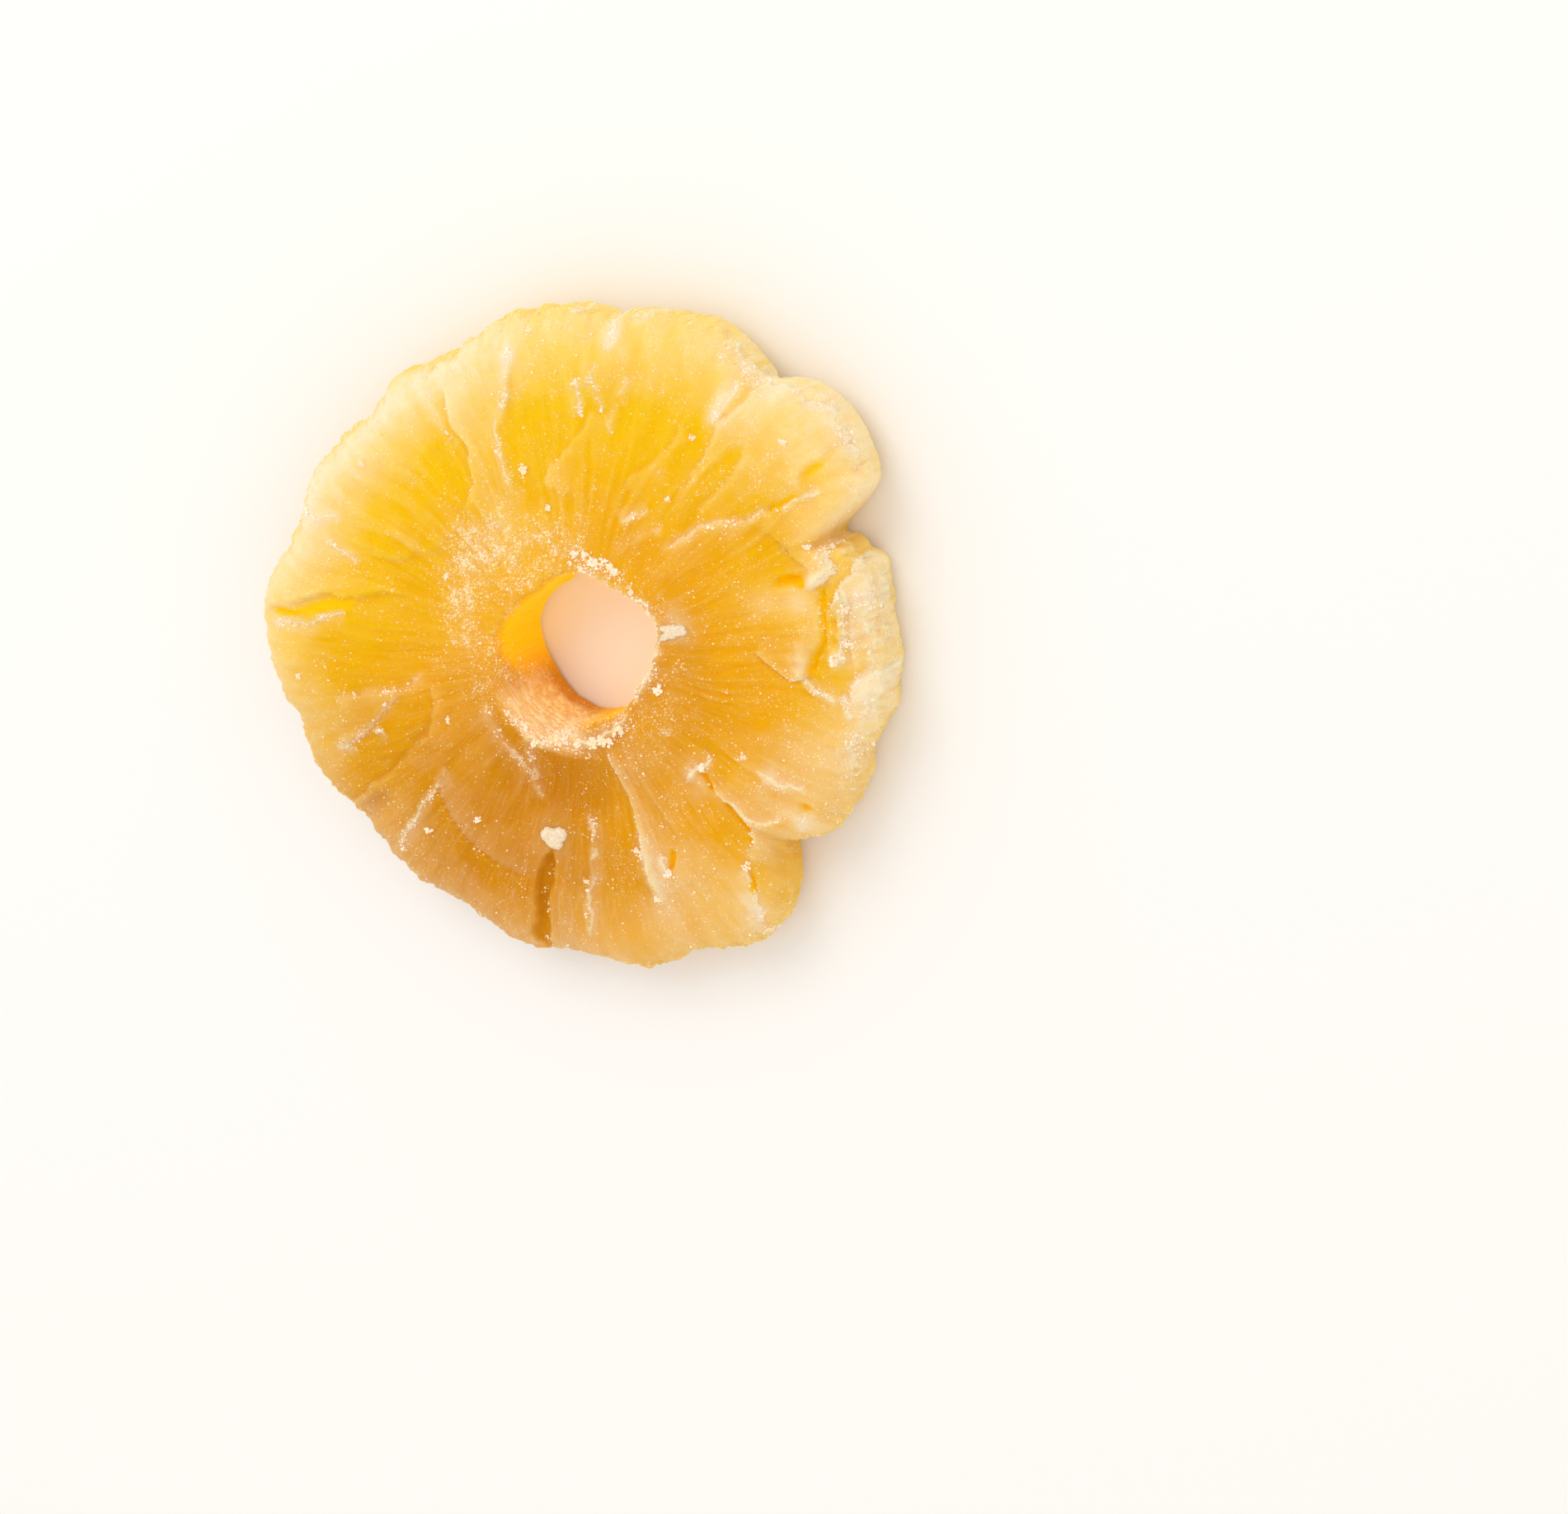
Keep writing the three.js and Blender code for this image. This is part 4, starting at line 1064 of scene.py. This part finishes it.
draw = np.random.default_rng(5)
face_up = step(0.45, 0.8, up_share)
torn_edge = crest * bell((gap - 0.3) / 0.45)
loose = (0.05 + 1.4 * frost + 0.12 * pale + 0.8 * torn_edge) * (0.1 + face_up) * (1 - 0.8 * wet)
loose = loose * (0.25 + 1.5 * step(-0.1, 0.6, uneven(x, y, 3.2, 81)))
places, outward = scatter(draw, CRYSTALS, loose)
sizes = random_sizes(draw, CRYSTAL_HALF_WIDTH, CRYSTALS, 0.035, 0.22)
crystals = make_crystals("sugar_crystals", draw, places, outward, sizes)

clumped = step(-0.1, 0.5, uneven(x, y, 1.3, 82))
places, outward = scatter(draw, CRUMBS, (spots(x, y, CRUSTS, 1.5) + 0.9 * torn_edge * clumped) * face_up)
sizes = random_sizes(draw, CRUMB_HALF_WIDTH, CRUMBS, 0.05, 0.32)
crumbs = make_crystals("sugar_crumbs", draw, places, outward, sizes, sink=0.5)
print(CRYSTALS, "crystals and", CRUMBS, "crumbs")

# %% [markdown]
# The largest white spots are clusters: each is a handful of crumbs drawn round one place. A crumb has to lie on
# the flesh, so it takes the height of the ring's nearest upper point, seen from above, which a search tree finds
# quickly. One that would lie past the edge moves to that point altogether.

# %% Clusters
CLUSTER_CRUMBS = 20
CLUSTER_SPREAD = 0.55
POINT_SPACING = 0.3
# Distance from the hole's middle, angle and half width of each cluster.
AT_THE_HOLE = [
    (12.3, 229.6, 0.4), (12.9, 240, 0.5), (11.9, 251.6, 0.6), (11.4, 256, 0.4), (11.1, 268, 0.5),
    (10.9, 280.8, 0.6), (10.7, 287, 0.5), (11.3, 291, 0.45), (10.8, -58.6, 0.5), (12.8, 217.8, 0.3),
    (12.2, 73.1, 0.55), (12.7, 67.6, 0.4), (12.8, 85.5, 0.4), (12.2, 60.2, 0.5), (12.8, 79.6, 0.4),
    (11.7, 44.4, 0.4), (11.6, -19.4, 0.5), (10.9, 82.2, 0.4), (12.4, 64, 0.5), (11.9, 29, 0.3), (11.2, 16, 0.35),
]
ON_THE_FACE = [
    (35.8, 139.6, 0.35), (23.3, 103.5, 0.4), (18.3, 97.4, 0.35), (39.6, 96.1, 0.3), (19.6, 151.7, 0.35),
    (42, 60.2, 0.3), (32, 57.7, 0.35), (39.6, 42.6, 0.35), (23.8, 55.1, 0.3), (34.4, 24.2, 0.4),
    (39.4, 186.1, 0.35), (20.5, 206, 0.3), (27.2, 234.3, 0.4), (29.2, 267.7, 0.3), (24.8, -27.8, 0.35),
    (31.8, 286, 0.5), (25.5, 284.6, 0.4), (29, 292.3, 0.4), (38.5, -17.2, 0.5), (33.3, 225.7, 0.35),
    (35.7, 13.5, 0.4), (36.1, 10.6, 0.45), (35.3, 8, 0.35), (35.4, 4.1, 0.4), (34.5, 1.2, 0.6), (21.2, -39.6, 0.5),
    (33.2, -51, 0.45), (40.1, 154.9, 0.4), (37.6, 100.5, 0.4), (39.7, 79.7, 0.4),
]

clusters_at = [(*place(out, at), half_width) for out, at, half_width in AT_THE_HOLE + ON_THE_FACE]
middles = np.repeat(np.array(clusters_at), CLUSTER_CRUMBS, axis=0)
cluster_xy = middles[:, :2] + draw.normal(size=(len(middles), 2)) * middles[:, 2:] * CLUSTER_SPREAD
upper = points[up_share.ravel() > 0.3]
plan = KDTree(len(upper))
for i, (left, back, _) in enumerate(upper):
    plan.insert((left, back, 0.0), i)
plan.balance()
places = upper[[plan.find((left, back, 0.0))[1] for left, back in cluster_xy]]
on_the_ring = np.linalg.norm(places[:, :2] - cluster_xy, axis=1) < POINT_SPACING
places[on_the_ring, :2] = cluster_xy[on_the_ring]
outward = np.tile((0.0, 0.0, 1.0), (len(places), 1))
sizes = middles[:, 2] * draw.uniform(0.25, 0.75, len(places))
clusters = make_crystals("sugar_clusters", draw, places, outward, sizes, sink=0.35)
print(len(clusters_at), "clusters of", CLUSTER_CRUMBS, "crumbs")

# %% [markdown]
# ## Flakes of sugar
# Two flakes of dried syrup lie on the cut face: a spade-shaped one at the head of the open slit, and a long one at
# the right of the hole. Each is a thin plate on the surface, with its outline given by a few points and its edge
# turned down into the flesh.

# %% Flakes
FLAKE_ANGLES = 48
FLAKE_RINGS = 9
FLAKE_HEIGHT, FLAKE_SINK = 0.42, 0.25


def make_flake(name, middle, outline, seed):
    """outline is a few (x, y) points round the middle, in millimetres, anticlockwise."""
    outline = np.array(outline, dtype=float)
    bearing = np.degrees(np.arctan2(outline[:, 1], outline[:, 0])) % 360
    order = np.argsort(bearing)
    bearings = 360 * np.arange(FLAKE_ANGLES) / FLAKE_ANGLES
    reach_out = np.interp(bearings, bearing[order], np.hypot(*outline[order].T), period=360)
    reach_out = reach_out * (1 + 0.09 * noise_round(30, bearings, 0 * bearings, seed))
    share = np.linspace(0.12, 1, FLAKE_RINGS)[:, None]
    off_x, off_y = place(share * reach_out, bearings)
    x, y = middle[0] + off_x, middle[1] + off_y
    flat = top_fields(np.hypot(x, y), np.degrees(np.arctan2(y, x)))[0]
    lift = FLAKE_HEIGHT * (1 - share**7) - FLAKE_SINK * share**7 + 0.08 * uneven(x, y, 0.5, seed + 1)
    rings = np.stack([x, y, flat + lift], axis=-1).reshape(-1, 3)
    n = FLAKE_ANGLES
    corners = np.vstack([rings, rings[:n].mean(axis=0)])
    i, j = np.meshgrid(np.arange(FLAKE_RINGS - 1), np.arange(n), indexing="ij")
    k = (j + 1) % n
    quads = np.stack([i * n + j, (i + 1) * n + j, (i + 1) * n + k, i * n + k], axis=-1).reshape(-1, 4)
    first = np.arange(n)
    fan = np.stack([np.full(n, len(corners) - 1), first, (first + 1) % n], axis=1)
    faces = np.vstack([triangles_of(quads), fan])
    return make_piece(name, fitted(corners), faces)


SPADE = [
    (2.1, 0.55), (1.84, 1.38), (0.0, 1.13), (-1.38, 1.25), (-2.2, 0.55), (-1.38, -0.74), (-0.69, -1.29),
    (0.38, -1.88), (1.29, -0.55),
]
SLIVER = [
    (1.85, 0.2), (1.7, 0.75), (0.3, 0.85), (-0.9, 0.75), (-1.9, 0.8), (-1.2, -0.1), (-1.9, -1.2), (-0.6, -0.85),
    (0.6, -0.45), (1.7, -0.4),
]
spade = make_flake("sugar_flake_spade", place(24.1, 258.1), SPADE, 91)
sliver = make_flake("sugar_flake_long", place(14.0, 14.2), SLIVER, 93)
print("the spade has", len(spade.data.vertices), "points")

# %% [markdown]
# ## The sugar
# Sugar is white, and some light passes through it, so it takes gold from the flesh below. That shows most in the
# loose crystals, which are clear, and less in the fine crumbs and clusters. The flakes are coarse, dull and a
# little brown. All three finishes come from one function: two tones in patches, soft bumps and a faint light.

# %% Sugar materials
def sugar_finish(name, golden, white, patches_mm, shine):
    """Sugar that is golden in some patches and whiter in others. shine is the light that comes through it."""
    sugar = Finish(name)
    here = sugar.make("ShaderNodeTexCoord", out=3)
    patches = sugar.grain(here, patches_mm)
    return sugar.surface(
        Base_Color=sugar.blend(sugar.ramp(patches, 0.4, 0.6), golden, white),
        Normal=sugar.bump(patches, 0.2 * patches_mm),
        Roughness=0.5,
        Subsurface_Weight=0.3,
        Subsurface_Radius=(1.0, 0.9, 0.7),
        Subsurface_Scale=0.0008,
        Specular_IOR_Level=0.3,
        Emission_Color=paint(255, 232, 196),
        Emission_Strength=shine,
    )


clear_sugar = sugar_finish("clear_sugar", paint(252, 214, 130), paint(255, 238, 200), 2.0, 0.1)
fine_sugar = sugar_finish("fine_sugar", paint(250, 228, 190), paint(255, 240, 218), 2.0, 0.12)
coarse_sugar = sugar_finish("coarse_sugar", paint(232, 207, 168), paint(242, 224, 199), 0.4, 0.03)
for finish, pieces in (
    (clear_sugar, [crystals]), (fine_sugar, [crumbs, clusters]), (coarse_sugar, [spade, sliver]),
):
    for piece in pieces:
        piece.data.materials.append(finish)
        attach(piece, "root")
    print(finish.name, "is on", [piece.name for piece in pieces])

# %% [markdown]
# ## Table and light
# The table is plain and pale. The light is soft: a bright room all round, and one broad lamp at the upper left,
# behind the ring, which lights the rim through the flesh and gives each fold a shaded side. The plain view
# transform keeps the yellow as clear as it is.

# %% Table, room and lamp
TABLE_SIZE = 6.0
ROOM_STRENGTH = 0.95
ROOM_COLOUR = (1.0, 0.985, 0.96, 1.0)
LAMP_PLACE, LAMP_SIZE, LAMP_WATTS = (-0.15, 0.50, 0.66), 0.5, 1.4

half = TABLE_SIZE / 2
corners = np.array([(-half, -half, 0), (half, -half, 0), (half, half, 0), (-half, half, 0)], dtype=float)
table = make_piece("table", corners, np.array([(0, 1, 2, 3)]))
table_finish = Finish("table")
table.data.materials.append(table_finish.surface(Base_Color=paint(248, 246, 243), Roughness=0.75))

scene = bpy.context.scene
scene.view_settings.view_transform = "Standard"
world = bpy.data.worlds.new("room")
world.use_nodes = True
background = world.node_tree.nodes["Background"]
background.inputs["Color"].default_value = ROOM_COLOUR
background.inputs["Strength"].default_value = ROOM_STRENGTH
scene.world = world

lamp = bpy.data.lights.new("upper_left_lamp", "AREA")
lamp.shape, lamp.size, lamp.energy = "DISK", LAMP_SIZE, LAMP_WATTS
holder = bpy.data.objects.new(lamp.name, lamp)
holder.location = LAMP_PLACE
holder.rotation_euler = (-Vector(LAMP_PLACE)).to_track_quat("-Z", "Y").to_euler()
bpy.context.collection.objects.link(holder)
print("table", TABLE_SIZE, "m wide, lamp of", LAMP_WATTS, "W")

# %% [markdown]
# ## The camera
# The camera looks down on the ring from its far right. Its place follows from four facts: the lens, how large the
# ring shows, which pixel the middle of the hole falls on, and the line of sight. The ring's axis leans away from
# that line by `TILT`, towards the side `LEAN`. Turning straight-down sight onto it by the shortest way also says
# which way up the picture is.

# %% Camera
PICTURE_WIDTH, PICTURE_HEIGHT = 1902, 1836
HOLE_PIXEL = (697, 795)
PIXELS_PER_MM = 10.0
LENS_MM, SENSOR_MM = 80.0, 36.0
TILT, LEAN = math.radians(28), math.radians(32)

lens = bpy.data.cameras.new("camera")
lens.lens, lens.sensor_width, lens.clip_start = LENS_MM, SENSOR_MM, 0.01
camera = bpy.data.objects.new("camera", lens)
bpy.context.collection.objects.link(camera)
scene.camera = camera

focal_pixels = LENS_MM / SENSOR_MM * PICTURE_WIDTH
camera_distance = focal_pixels / PIXELS_PER_MM * MM
towards = Vector((math.sin(TILT) * math.cos(LEAN), math.sin(TILT) * math.sin(LEAN), math.cos(TILT)))
sight = Vector((0, 0, 1)).rotation_difference(towards)
hole_middle = Vector(fitted((0, 0, CORE_THICKNESS)))
hole_from_camera = Vector((
    (HOLE_PIXEL[0] - PICTURE_WIDTH / 2) / focal_pixels * camera_distance,
    (PICTURE_HEIGHT / 2 - HOLE_PIXEL[1]) / focal_pixels * camera_distance,
    -camera_distance,
))
camera.rotation_euler = sight.to_euler()
camera.location = hole_middle - sight @ hole_from_camera
print("camera", round(camera_distance, 3), "m from the hole")
